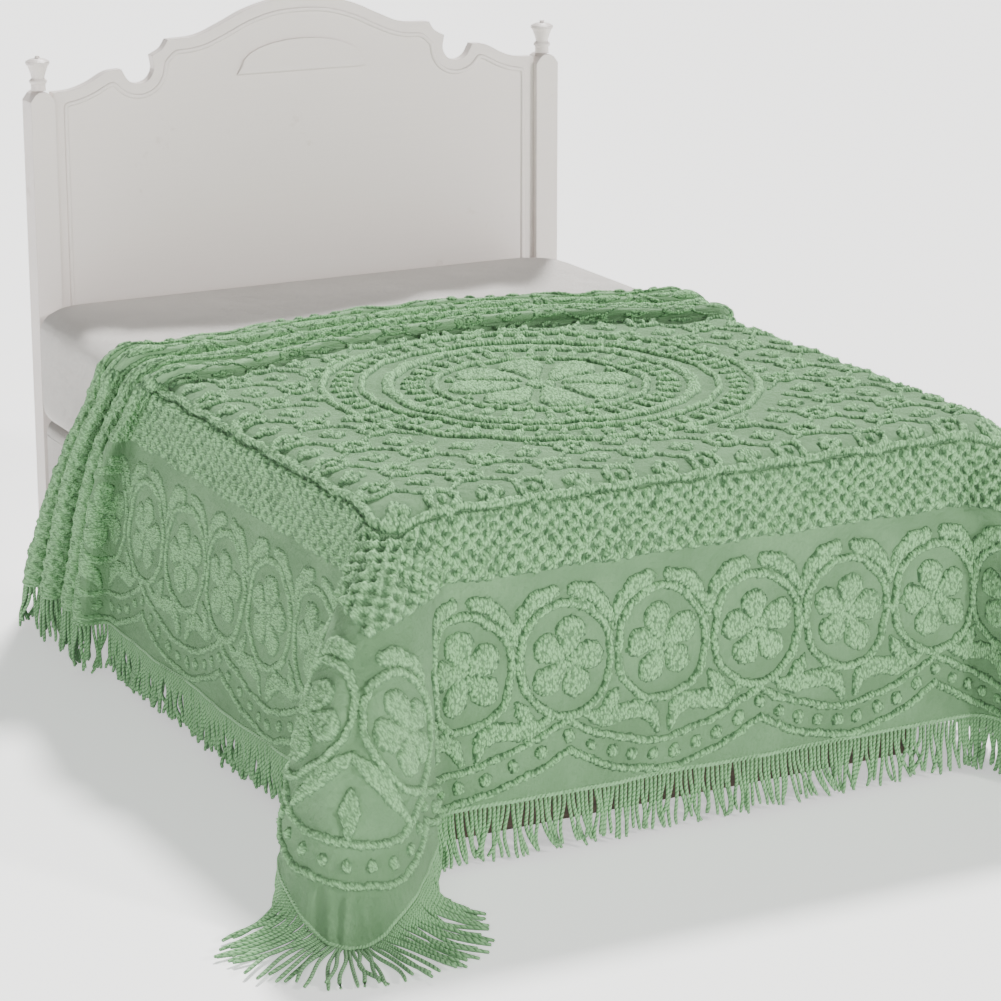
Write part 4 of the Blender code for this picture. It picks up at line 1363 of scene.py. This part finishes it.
def stampCorner(side):
    def place(out, down):
        return side * (halfWidth + out), -halfLength - down

    upper, lower = easedLine(cornerSwags), easedLine(cornerLowSwags)
    half = border["swagHalf"]
    for line in (upper, lower):
        ribbonAt([(*place(*station), half) for station in line], border["swagHeight"], half)
    between = (upper + lower) / 2
    run = np.concatenate(([0.0], np.cumsum(np.linalg.norm(np.diff(between, axis=0), axis=1))))
    gaps = border["dots"] + 1
    for k in range(1, gaps):
        dot = [np.interp(run[-1] * k / gaps, run, between[:, axis]) for axis in (0, 1)]
        dotAt(*place(*dot), border["dot"], pile["dot"])
    mirrored = [{"out": row["down"], "down": row["out"], "half": row["half"]} for row in cornerLeaf]
    for rows in (cornerLeaf, mirrored, cornerPetal):
        line = [(*place(row["out"], row["down"]), row["half"]) for row in rows]
        ribbonAt(line, pile["petal"], pile["petalSoft"])


def stampBorder():
    for row in borderEdges:
        circles = row["circles"]
        for number, s in enumerate(circles):
            leafSides = []      # a leaf over each shoulder, but none past the end of the row
            if number > 0:
                leafSides.append(-1)
            if number < len(circles) - 1:
                leafSides.append(1)
            stampCircle(row["edge"], s, number, leafSides)
        for first, second in zip(row["cusps"], row["cusps"][1:]):
            stampSwag(row["edge"], first, second, circles)
    for side in (-1, 1):
        stampCorner(side)
    # the one wide gap between circles holds a single petal
    line = [(*edgePlaces["foot"](gapPetal["along"], down), half) for down, half in gapPetal["line"]]
    ribbonAt(line, pile["petal"], pile["petalSoft"])


stampMedallion()
stampField()
stampBand()
stampBorder()
print("pattern charted")


def roughenPile():
    # uneven cut pile: ribs along the tufted rows, ragged tips and softer lumps
    random = np.random.default_rng(pile["seed"])
    ragged = random.normal(0.0, 1.0, heightMap.shape)
    lumpy = spreadOut(spreadOut(random.normal(0.0, pile["lumpSpread"], heightMap.shape)))
    share = np.clip(heightMap / pile["roughFrom"], 0.0, 1.0)
    rib = np.where(np.arange(heightMap.shape[1]) % 2 == 0, pile["rib"], -pile["rib"])[None, :]
    return heightMap + share * (pile["ragged"] * ragged + pile["lumpy"] * lumpy + rib)


# How the pile changes over the cloth: it lies flatter on the head rolls and on the hanging sides, and its
# painted shade is set apart from its height there: deeper in the low pile of the hanging sides and in the
# crevices between standing folds, and less on the standing folds.
pileLie = {
    "rolledFade": 0.08,
    "rolledFlat": 0.50,
    "asideFade": 0.04,
    "asideStart": 0.10,
    "asideFlat": 0.48,
    "asidePaintedShade": 0.34,
    "asideLevel": 0.0074,
    "standingFade": 0.05,
    "standingLessShade": 0.42,
    "standingLevel": 0.0088,
    "creviceLift": 0.020,   # a standing fold this high is out of the crevice
    "crevicePaintedShade": 0.72,
}


def pileHeights():
    # real heights of the pile, and the heights by which its material paints shade
    full = roughenPile()
    beside = np.abs(trueAcross) - halfWidth
    foldStart = np.interp(trueAcross, foldPlaces, foldCurves["start"])
    rolled = easeRamp((trueFlat - foldStart) / pileLie["rolledFade"])
    pastFoot = easeRamp((trueFlat + halfLength) / pileLie["asideStart"])
    aside = easeRamp(beside / pileLie["asideFade"]) * pastFoot
    hanging = aside * (1.0 - rolled)
    heights = full * (1.0 - pileLie["rolledFlat"] * rolled) * (1.0 - pileLie["asideFlat"] * hanging)
    # painted shade: the low pile of the hanging sides is shaded deeper
    under = np.maximum(pileLie["asideLevel"] - full, 0.0)
    shown = full - pileLie["asidePaintedShade"] * hanging * under
    standing = rolled * easeRamp(beside / pileLie["standingFade"])
    lift = headFold(trueAcross, trueFlat)[1]
    # painted shade in the crevices between the standing folds
    crevice = standing * (1.0 - easeRamp(lift / pileLie["creviceLift"]))
    # less painted shade on the low pile of the standing folds
    under = np.maximum(pileLie["standingLevel"] - shown, 0.0)
    shown = shown + pileLie["standingLessShade"] * standing * under
    return heights, shown * (1.0 - pileLie["crevicePaintedShade"] * crevice)


pileCuts = {
    "leastHeight": 0.0002,
    "hemGap": 0.004,
    "fieldEdge": -0.0105,   # the field's pile ends here, as distance outside the bed's edge
    "borderGap": 0.006,
}


def buildPile():
    heights, shownHeights = pileHeights()
    higher = np.maximum(heightMap[:-1], heightMap[1:])
    highest = np.maximum(higher[:, :-1], higher[:, 1:])     # of the four corners of each cell
    u, v = np.meshgrid((acrossLine[:-1] + acrossLine[1:]) / 2, (flatLine[:-1] + flatLine[1:]) / 2)
    kept = (highest > pileCuts["leastHeight"]) & (insideHem(u, v) > pileCuts["hemGap"])
    outward = np.maximum(np.abs(u), np.abs(v - middleFlat)) - halfWidth
    inMedallion = np.hypot(u, v - middleFlat) < medallion["reach"]
    inField = outward < pileCuts["fieldEdge"]
    inBorder = outward > bandSizes["end"] + pileCuts["borderGap"]
    inBand = ~inField & ~inBorder
    sideways = np.abs(u) > np.abs(v - middleFlat)
    regions = {
        "tuftsMedallion": inMedallion,
        "tuftsField": ~inMedallion & inField,
        "tuftsBand": inBand & (u <= 0),
        "tuftsBandRight": inBand & (u > 0),
        "tuftsFoot": inBorder & ~sideways & (v < middleFlat),
        "tuftsHead": inBorder & ~sideways & (v >= middleFlat),
        "tuftsLeft": inBorder & sideways & (u < 0),
        "tuftsRight": inBorder & sideways & (u >= 0),
    }
    index = np.arange(heightMap.size).reshape(heightMap.shape)
    cells = np.stack((index[:-1, :-1], index[:-1, 1:], index[1:, 1:], index[1:, :-1]), -1)
    grids = (trueAcross, trueFlat, heights, shownHeights)
    pieces = []
    for name, region in regions.items():
        used, numbers = np.unique(cells[kept & region], return_inverse=True)
        across, flat, height, shown = (grid.ravel()[used] for grid in grids)
        quads = numbers.reshape(-1, 4)
        points = clothPoint(across, flat, sheetSizes["over"] + height)
        places = np.column_stack((across, flat, np.zeros(len(used))))
        pieces.append(meshPiece(name, points, quads, pileFinish, places, shown))
        print(name, 2 * len(quads), "triangles")
    return pieces


tufts = buildPile()


# fringe

fringe = {
    "spacing": 0.0096,
    "radius": 0.0038,
    "radiusShares": [(0.0, 0.85), (0.12, 1.0), (0.95, 1.05), (1.0, 0.80)],     # from root to tip
    "length": 0.108,
    "cornerLength": 0.178,
    "unevenness": (0.86, 1.04),
    "sides": 6,
    "rings": 13,
    "seed": 5,
    "tucked": 0.006,        # how far each strand starts inside the hem
    "stand": 0.0006,
    "lyingHeight": 0.112,   # a hem lower than this has the longer strands
    "lyingFade": 0.07,
    "together": 9,          # strands that sway alike
    "groupSway": 0.12,
    "ownSway": 0.10,
    "curl": 0.0055,
    "curlTurns": (5.0, 6.0),
    "slopeStep": 0.01,      # flat distance inwards over which the hem's slope is taken
    "floorGap": 0.0004,
    "floorFade": 0.32,
    "floorReach": 0.96,
    "floorBend": 0.42,
    "floorSway": 0.5,
    "floorCurl": 1.6,
    "floorStack": 2.2,      # how high strands lie over each other on the floor, in radii
    "floorShuffle": 40.0,   # turns a strand's sway into its place in that stack
    "tipLength": 0.5,       # in radii
    "sideBand": 0.2,        # strands this near the hem of a side belong to that side's piece
}


fringeLook = {
    "twist": 0.0090,        # length of one turn of the plies
    "clump": 500.0,
    "grooveRange": (0.45, 0.0),
    # painted shade in the grooves of the twist, on the side of each strand turned to the cloth, and near
    # the roots
    "grooveShadeDepth": 0.9,
    "backShadeRange": (0.60, -0.45),
    "tintDepth": 0.35,
    "rootShadeRange": (0.055, 0.0),
    "rootShadeDepth": 0.6,
    "fuzzRelief": 0.3,
    "relief": 0.0012,
}


# depth sets how strong the painted shade is
def fringeMaterial(name, light, depth):
    look = fringeLook
    material, tree, shader = newMaterial(name, 0.95)
    split = splitPlace(tree, attributeNode(tree, "clothPlace", "Vector"))
    around, along, tint = split["X"], split["Y"], split["Z"]
    plies = times(tree, around, 2.0)
    turns = plus(tree, times(tree, along, 2 * math.pi / look["twist"]), plies)
    twist = times(tree, plus(tree, mathNode(tree, "SINE", turns), 1.0), 0.5)
    fuzz = groupNode(tree, pileFuzz, objectPlace(tree), look["clump"])
    # painted shade: grooves of the twist, the side of each strand facing the cloth, and the upper end by
    # the hem
    grooveShade = rampNode(tree, twist, *look["grooveRange"])
    backShade = rampNode(tree, mathNode(tree, "SINE", around), *look["backShadeRange"])
    dark = larger(tree, times(tree, grooveShade, look["grooveShadeDepth"]), backShade)
    colour = mixColour(tree, times(tree, dark, depth), light, chenille["paintedShadeGreen"])
    shade = times(tree, rampNode(tree, tint, 0.0, 1.0), look["tintDepth"])
    root = times(tree, rampNode(tree, along, *look["rootShadeRange"]), depth * look["rootShadeDepth"])
    colour = mixColour(tree, larger(tree, shade, root), colour, chenille["clothDark"])
    feed(tree, shader["Base Color"], colour)
    shader["Sheen Weight"].default_value = 0.2
    shader["Specular IOR Level"].default_value = 0.15
    relief = plus(tree, twist, times(tree, fuzz["Relief"], look["fuzzRelief"]))
    bumpNormal(tree, shader, relief, look["relief"])
    return material


fringeFinish = fringeMaterial("twistedYarn", chenille["yarn"], 0.95)
headingFinish = fringeMaterial("stitchedHeading", chenille["clothLight"], 0.25)


def hemStations():
    # evenly spaced hem places, and the way out of each, from the left head corner round the foot
    side, foot = centreX + hemPath, centreY + hemPath
    straight = headEdge + foot - hemRound
    arc = hemRound * math.pi / 2
    total = 2 * straight + 2 * arc + 2 * (side - hemRound)
    places, ways = [], []
    for run in np.arange(0.5, int(total / fringe["spacing"])) * fringe["spacing"]:
        near = min(run, total - run)
        if near < straight:
            place, way = (-side, headEdge - near), (-1.0, 0.0)
        elif near < straight + arc:
            angle = (near - straight) / hemRound
            way = (-math.cos(angle), -math.sin(angle))
            place = (-centreX - hemInner + hemRound * way[0], -centreY - hemInner + hemRound * way[1])
        else:
            place, way = (-side + hemRound + near - straight - arc, -foot), (0.0, -1.0)
        mirror = -1.0 if run > total / 2 else 1.0
        places.append((mirror * place[0], place[1]))
        ways.append((mirror * way[0], way[1]))
    return np.array(places), np.array(ways)


def splayed(places, ways, length, share, sway, off):
    # strands of a hem near the floor, which spread outwards to lie on it
    x, y = places.T
    innerX, innerY = (places - fringe["slopeStep"] * ways).T
    level = np.zeros(len(places))
    start = clothPoint(x, y, level)
    down = unitRows(start - clothPoint(innerX, innerY, level))
    normal = middleNormal(innerX, innerY)
    plan = unitRows(normal[:, :2] + down[:, :2])
    side = planNormals(plan)
    reach = np.sqrt(np.maximum(length ** 2 - start[:, 2] ** 2, 0.0))
    end = start.copy()
    end[:, :2] += (plan * (fringe["floorReach"] * reach)[:, None]
                   + side * (fringe["floorSway"] * sway * reach)[:, None])
    stacked = fringe["floorStack"] * np.abs(np.sin(fringe["floorShuffle"] * sway))
    end[:, 2] = fringe["radius"] * (1.0 + stacked)
    middle = start + down * (fringe["floorBend"] * length)[:, None]
    middle[:, 2] = np.maximum(middle[:, 2], fringe["radius"])
    t = share[None, :, None]
    path = (1 - t) ** 2 * start[:, None] + 2 * t * (1 - t) * middle[:, None] + t ** 2 * end[:, None]
    path[..., :2] += side[:, None, :] * off[..., None] * fringe["floorCurl"]
    return path


def strandPaths(random, places, ways):
    # centre lines of the strands, the cloth's normal there, and each station's distance down
    count = len(places)
    share = np.linspace(0.0, 1.0, fringe["rings"])
    start = clothPoint(places[:, 0], places[:, 1], np.zeros(count))
    lying = easeRamp((fringe["lyingHeight"] - start[:, 2]) / fringe["lyingFade"])
    length = fringe["length"] + (fringe["cornerLength"] - fringe["length"]) * lying
    length = length * random.uniform(*fringe["unevenness"], count)
    groupPlaces = np.arange(0, count + fringe["together"], fringe["together"])
    group = np.interp(np.arange(count), groupPlaces, random.normal(0.0, 1.0, len(groupPlaces)))
    sway = fringe["groupSway"] * group + random.normal(0.0, fringe["ownSway"], count)
    curl = random.normal(0.0, fringe["curl"], (count, 2))
    phase = random.uniform(0.0, 6.3, (count, 2))
    slipTurns, offTurns = fringe["curlTurns"]
    depth = -fringe["tucked"] + (length[:, None] + fringe["tucked"]) * share[None, :]
    slip = sway[:, None] * depth * share[None, :]
    slip = slip + curl[:, :1] * np.sin(slipTurns * share[None, :] + phase[:, :1]) * share[None, :]
    off = curl[:, 1:] * np.sin(offTurns * share[None, :] + phase[:, 1:]) * share[None, :]
    laid = places[:, None, :] + ways[:, None, :] * depth[..., None]
    laid = laid + planNormals(ways)[:, None, :] * slip[..., None]
    normal = middleNormal(laid[..., 0], laid[..., 1])
    centre = middlePoint(laid[..., 0], laid[..., 1]) + normal * (fringe["stand"] + off)[..., None]
    flare = splayed(places, ways, length, share, sway, off)
    weight = easeRamp((length - start[:, 2]) / (fringe["floorFade"] * length))[:, None, None]
    return centre * (1.0 - weight) + flare * weight, normal, depth


def strandFaces(rings, sides):
    # one strand's tube with both ends closed; its two end points come after the rings
    last = (rings - 1) * sides
    ends = []
    for k in range(0, sides, 2):
        ends.append((rings * sides, k, (k + 1) % sides, (k + 2) % sides))
        ends.append((rings * sides + 1, last + (k + 2) % sides, last + (k + 1) % sides, last + k))
    return np.concatenate((tubeFaces(rings, sides), np.array(ends)))


def buildFringe():
    random = np.random.default_rng(fringe["seed"])
    places, ways = hemStations()
    count, rings, sides = len(places), fringe["rings"], fringe["sides"]
    centre, normal, depth = strandPaths(random, places, ways)
    stations, thickness = zip(*fringe["radiusShares"])
    radius = fringe["radius"] * np.interp(np.linspace(0.0, 1.0, rings), stations, thickness)
    centre[..., 2] = np.maximum(centre[..., 2], radius[None, :] + fringe["floorGap"])
    tangent = unitRows(np.gradient(centre, axis=1))
    across = unitRows(np.cross(tangent, normal))
    outward = np.cross(across, tangent)
    angles = ringAngles(sides)
    ring = (across[:, :, None, :] * np.cos(angles)[None, None, :, None]
            + outward[:, :, None, :] * np.sin(angles)[None, None, :, None])
    points = centre[:, :, None, :] + radius[None, :, None, None] * ring
    tip = centre[:, -1:] + tangent[:, -1:] * fringe["radius"] * fringe["tipLength"]
    tips = np.concatenate((centre[:, :1], tip), axis=1)
    left = places[:, 0] < -centreX - hemPath + fringe["sideBand"]
    right = places[:, 0] > centreX + hemPath - fringe["sideBand"]
    tint = random.uniform(0.0, 1.0, count)
    faces = strandFaces(rings, sides)
    size = rings * sides + 2
    pieces = []
    for name, chosen in (("fringeLeft", left), ("fringeRight", right), ("fringeFoot", ~(left | right))):
        number = int(chosen.sum())
        body = np.concatenate((points[chosen].reshape(number, size - 2, 3), tips[chosen]), axis=1)
        quads = (faces[None] + (np.arange(number) * size)[:, None, None]).reshape(-1, 4)
        around = np.tile(np.concatenate((np.tile(angles, rings), (0.0, 0.0))), (number, 1))
        deep = depth[chosen]
        along = np.concatenate((np.repeat(deep, sides, axis=1), deep[:, [0, -1]]), axis=1)
        shade = np.repeat(tint[chosen][:, None], size, axis=1)
        info = np.stack((around, along, shade), -1).reshape(-1, 3)
        pieces.append(meshPiece(name, body.reshape(-1, 3), quads, fringeFinish, info))
        print(name, number, "strands")
    return pieces


fringes = buildFringe()

headingSizes = {
    "inset": 0.0045,
    "rise": 0.0016,
    "half": 0.0042,
    "thickness": 0.0024,    # half of it
    "bead": 0.22,           # every second station is larger by this share
    "least": 0.0008,
    "sides": 6,
    "tint": 0.3,
}


def buildHeading():
    # stitched heading of the fringe, a flat cord along the hem
    places, ways = hemStations()
    inner = places - headingSizes["inset"] * ways
    count, sides = len(inner), headingSizes["sides"]
    centre = clothPoint(inner[:, 0], inner[:, 1], np.full(count, headingSizes["rise"]))
    normal = middleNormal(inner[:, 0], inner[:, 1])
    tangent = unitRows(np.gradient(centre, axis=0))
    down = unitRows(np.cross(normal, tangent))
    beads = 1.0 + headingSizes["bead"] * (np.arange(count) % 2)
    angles = ringAngles(sides)
    ring = (down[:, None] * (headingSizes["half"] * np.cos(angles))[None, :, None]
            + normal[:, None] * (headingSizes["thickness"] * np.sin(angles))[None, :, None])
    points = (centre[:, None] + ring * beads[:, None, None]).reshape(-1, 3)
    points[:, 2] = np.maximum(points[:, 2], headingSizes["least"])
    startCap, endCap = np.array([(0, 3, 2, 1), (0, 5, 4, 3)]), np.array([(0, 1, 2, 3), (0, 3, 4, 5)])
    tube = tubeFaces(count, sides, flipped=True)
    quads = np.concatenate((tube, startCap, endCap + (count - 1) * sides))
    run = np.repeat(np.arange(count) * fringe["spacing"], sides)
    info = np.column_stack((np.tile(angles, count), run, np.full(len(run), headingSizes["tint"])))
    return meshPiece("fringeHeading", points, quads, headingFinish, info)


heading = buildHeading()
print("fringe built")


# the bed under the cloth

bedColours = {
    "sheet": (0.78, 0.75, 0.72, 1.0),
    "sheetShade": (0.68, 0.65, 0.62, 1.0),
    "paint": (0.80, 0.74, 0.71, 1.0),
    "paintWorn": (0.62, 0.55, 0.50, 1.0),
    "wood": (0.105, 0.068, 0.045, 1.0),
    "woodDark": (0.050, 0.032, 0.022, 1.0),
}
bedLook = {
    "coverWear": 5.0,
    "coverWearDepth": 0.5,
    "coverCreases": 9.0,
    "coverWeave": 0.03,
    "coverRelief": 0.02,
    "brushed": (3.0, 40.0, 60.0),
    "strokes": 2.0,
    "strokeDepth": 0.12,
    "strokeRelief": 0.0004,
    "paintWear": 7.0,
    "paintSpecks": 34.0,
    "rubbedRange": (0.52, 0.70),
    "rubbedDepth": 0.5,
    "paintRoughness": 0.4,
    "rubbedRoughness": 0.3,     # added to the paint's own
    "softEdge": 0.003,
    "grained": (1.5, 18.0, 30.0),
    "grain": 3.0,
    "grainRange": (0.35, 0.65),
    "grainRelief": 0.0008,
}


def coverMaterial(name, light, shade):
    # plain cotton cover with soft creases
    material, tree, shader = newMaterial(name, 0.85)
    place = objectPlace(tree)
    weave = groupNode(tree, plainWeave, place, groundLook["threads"])
    wear = groupNode(tree, softWear, place, bedLook["coverWear"])
    worn = times(tree, wear["Patches"], bedLook["coverWearDepth"])
    feed(tree, shader["Base Color"], mixColour(tree, worn, light, shade))
    creased = noiseNode(tree, place, bedLook["coverCreases"], 4.0, 0.55)
    relief = plus(tree, times(tree, weave["Relief"], bedLook["coverWeave"]), creased)
    bumpNormal(tree, shader, relief, bedLook["coverRelief"])
    return material


def paintMaterial():
    # brushed paint over wood, rubbed through a little
    material, tree, shader = newMaterial("brushedPaint", 0.42)
    place = objectPlace(tree)
    strokes = noiseNode(tree, stretched(tree, place, bedLook["brushed"]), bedLook["strokes"], 4.0, 0.6)
    wear = groupNode(tree, softWear, place, bedLook["paintWear"])
    specks = times(tree, noiseNode(tree, place, bedLook["paintSpecks"], 5.0, 0.65), wear["Patches"])
    rubbed = rampNode(tree, specks, *bedLook["rubbedRange"])
    paint, worn = bedColours["paint"], bedColours["paintWorn"]
    colour = mixColour(tree, times(tree, strokes, bedLook["strokeDepth"]), paint, worn)
    colour = mixColour(tree, times(tree, rubbed, bedLook["rubbedDepth"]), colour, worn)
    feed(tree, shader["Base Color"], colour)
    rough = times(tree, rubbed, bedLook["rubbedRoughness"])
    feed(tree, shader["Roughness"], plus(tree, rough, bedLook["paintRoughness"]))
    soft = tree.nodes.new("ShaderNodeBevel")
    soft.inputs["Radius"].default_value = bedLook["softEdge"]
    bump = bumpNormal(tree, shader, strokes, bedLook["strokeRelief"])
    tree.links.new(soft.outputs["Normal"], bump.inputs["Normal"])
    return material


def woodMaterial():
    # stained wood with long grain across the bed
    material, tree, shader = newMaterial("stainedWood", 0.55)
    drawn = stretched(tree, objectPlace(tree), bedLook["grained"])
    lines = noiseNode(tree, drawn, bedLook["grain"], 6.0, 0.6)
    grain = rampNode(tree, lines, *bedLook["grainRange"])
    feed(tree, shader["Base Color"], mixColour(tree, grain, bedColours["wood"], bedColours["woodDark"]))
    bumpNormal(tree, shader, lines, bedLook["grainRelief"])
    return material


padding = {
    "inset": 0.001,         # keeps a dressed block inside its solid
    "step": 0.035,
    "sideStep": 0.014,
    "leastCells": 8,
}
paddedBlocks = [
    {"node": "mattress", "plan": 0.13, "edge": 0.048},
    {"node": "foundation", "plan": 0.10, "edge": 0.015},
]
piping = {
    "levels": {"Low": 0.12, "High": 0.88},      # shares of the foundation's height
    "radius": 0.0035,
    "plan": 0.10,
    "inset": 0.003,
    "sides": 8,
    "cornerSteps": 8,
}


def blockGrid(counts):
    # points from -1 to 1 and outward faces of a gridded block, with its edges shared
    points, quads, seen = [], [], {}

    def vertex(key):
        if key not in seen:
            seen[key] = len(points)
            points.append([2.0 * key[axis] / counts[axis] - 1.0 for axis in range(3)])
        return seen[key]

    for axis in range(3):
        one, two = (axis + 1) % 3, (axis + 2) % 3
        for end in (0, counts[axis]):
            for i in range(counts[one]):
                for j in range(counts[two]):
                    corners = []
                    for di, dj in ((0, 0), (1, 0), (1, 1), (0, 1)):
                        key = [0, 0, 0]
                        key[axis], key[one], key[two] = end, i + di, j + dj
                        corners.append(vertex(tuple(key)))
                    quads.append(corners if end else corners[::-1])
    return np.array(points), np.array(quads)


def paddedBox(block, material):
    # a stuffed block with round corners in plan and round edges, in place of a plain solid
    planRound, edgeRound = block["plan"], block["edge"]
    low, high = (np.array(corner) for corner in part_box(block["node"]))
    low, high = low + padding["inset"], high - padding["inset"]
    middle, half = (low + high) / 2, (high - low) / 2
    steps = (padding["step"], padding["step"], padding["sideStep"])
    counts = [max(padding["leastCells"], int(2 * h / step)) for h, step in zip(half, steps)]
    points, quads = blockGrid(counts)
    shape = points * half
    core = np.clip(shape[:, :2], -(half[:2] - planRound), half[:2] - planRound)
    arm = shape[:, :2] - core
    square = np.abs(arm).max(axis=1)
    shape[:, :2] = core + arm * (square / np.maximum(np.linalg.norm(arm, axis=1), 1e-9))[:, None]
    inset = planRound - square      # how far inside the plan's outline
    depth = half[2] - np.abs(shape[:, 2])
    a, b = np.clip(1.0 - inset / edgeRound, 0.0, 1.0), np.clip(1.0 - depth / edgeRound, 0.0, 1.0)
    far = np.maximum(a, b) / np.maximum(np.hypot(a, b), 1e-9)
    shape[:, :2] -= unitRows(arm) * (edgeRound * a * (1.0 - far))[:, None]
    shape[:, 2] -= np.sign(shape[:, 2]) * edgeRound * b * (1.0 - far)
    node = block["node"]
    piece = meshPiece(node + "Dressed", shape + middle, quads, material)
    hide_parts(node)


def pipingRound(name, node, level, material):
    # a cord sewn round a stuffed block, at a share of its height
    low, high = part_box(node)
    middle, half = (low + high) / 2, (high - low) / 2
    height = low.z + level * (high.z - low.z)
    radius, sides = piping["radius"], piping["sides"]
    path = []
    for number, (sx, sy) in enumerate(((1, 1), (-1, 1), (-1, -1), (1, -1))):
        for k in range(piping["cornerSteps"] + 1):
            angle = math.pi / 2 * (number + k / piping["cornerSteps"])
            centre = half.x - piping["inset"] - piping["plan"], half.y - piping["inset"] - piping["plan"]
            path.append((middle.x + sx * centre[0] + piping["plan"] * math.cos(angle),
                         middle.y + sy * centre[1] + piping["plan"] * math.sin(angle)))
    path = np.array(path)
    out = -planNormals(unitRows(np.roll(path, -1, axis=0) - np.roll(path, 1, axis=0)))
    angles = ringAngles(sides)
    plan = path[:, None] + out[:, None] * (radius * np.cos(angles))[None, :, None]
    heights = np.broadcast_to(height + radius * np.sin(angles)[None, :, None], (len(path), sides, 1))
    points = np.concatenate((plan, heights), -1).reshape(-1, 3)
    meshPiece(name, points, tubeFaces(len(path), sides, closed=True), material)


coverFinish = coverMaterial("fittedSheet", bedColours["sheet"], bedColours["sheetShade"])
baseCover = coverMaterial("baseCover", bedColours["sheetShade"], bedColours["sheet"])
paintFinish, woodFinish = paintMaterial(), woodMaterial()
for block, finish in zip(paddedBlocks, (coverFinish, baseCover)):
    paddedBox(block, finish)
for label, level in piping["levels"].items():
    pipingRound("foundationPiping" + label, "foundation", level, baseCover)
painted = ["headboard_panel", "headboard_applique"]
painted += [name + side for name in ("post", "finial") for side in ("_left", "_right")]
for names, finish in ((["bed_base"], woodFinish), (painted, paintFinish)):
    for name in names:
        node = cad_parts[name]
        node.data.materials.clear()
        node.data.materials.append(finish)

bead = {
    "step": 0.006,
    "inset": 0.030,
    "leastInset": 0.0285,   # places nearer the edge than this are left out, at the tight turns
    "half": 0.0055,
    "rise": 0.0035,
    "sides": 6,
}


def panelOutline():
    # the headboard's front outline, read from its solid, in order round the edge
    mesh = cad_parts["headboard_panel"].data
    front = min(v.co.y for v in mesh.vertices)
    edges = set()
    for polygon in mesh.polygons:
        corners = [mesh.vertices[i].co for i in polygon.vertices]
        if max(c.y for c in corners) > front + 1e-4:
            continue
        keys = [(round(c.x, 5), round(c.z, 5)) for c in corners]
        edges.update(zip(keys, keys[1:] + keys[:1]))
    outer = {one: two for one, two in edges if (two, one) not in edges}
    start = min(outer)
    line = [start]
    while outer[line[-1]] != start:
        line.append(outer[line[-1]])
    return front, np.array(line)


def buildBead():
    # a raised bead a little inside the headboard's edge
    front, line = panelOutline()
    closed = np.vstack((line, line[:1]))
    run = np.concatenate(([0.0], np.cumsum(np.linalg.norm(np.diff(closed, axis=0), axis=1))))
    marks = np.linspace(0.0, run[-1], int(run[-1] / bead["step"]), endpoint=False)
    fine = np.column_stack([np.interp(marks, run, closed[:, axis]) for axis in (0, 1)])
    inward = planNormals(unitRows(np.roll(fine, -1, axis=0) - np.roll(fine, 1, axis=0)))
    area = np.sum(fine[:, 0] * np.roll(fine[:, 1], -1) - np.roll(fine[:, 0], -1) * fine[:, 1])
    path = fine + bead["inset"] * inward * (1.0 if area > 0 else -1.0)
    gap = np.min(np.linalg.norm(path[:, None] - fine[None, ::3], axis=2), axis=1)
    path = path[gap > bead["leastInset"]]
    for _ in range(3):
        path = (np.roll(path, 1, axis=0) + 2 * path + np.roll(path, -1, axis=0)) / 4
    angles = ringAngles(bead["sides"])
    out = planNormals(unitRows(np.roll(path, -1, axis=0) - np.roll(path, 1, axis=0)))
    beside = path[:, None] + bead["half"] * np.cos(angles)[None, :, None] * out[:, None]
    y = np.broadcast_to(front - bead["rise"] * np.sin(angles)[None], beside.shape[:2])
    points = np.stack((beside[..., 0], y, beside[..., 1]), -1).reshape(-1, 3)
    quads = tubeFaces(len(path), bead["sides"], closed=True, flipped=True)
    meshPiece("headboardBead", points, quads, paintFinish)


buildBead()
print("bed dressed")

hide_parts("fringe")
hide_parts("bedspread")
clothArea = (2 * (centreX + hemPath)) * (headEdge + centreY + hemPath)
clothArea = clothArea - (2 - math.pi / 2) * hemRound ** 2       # less the two round hem corners
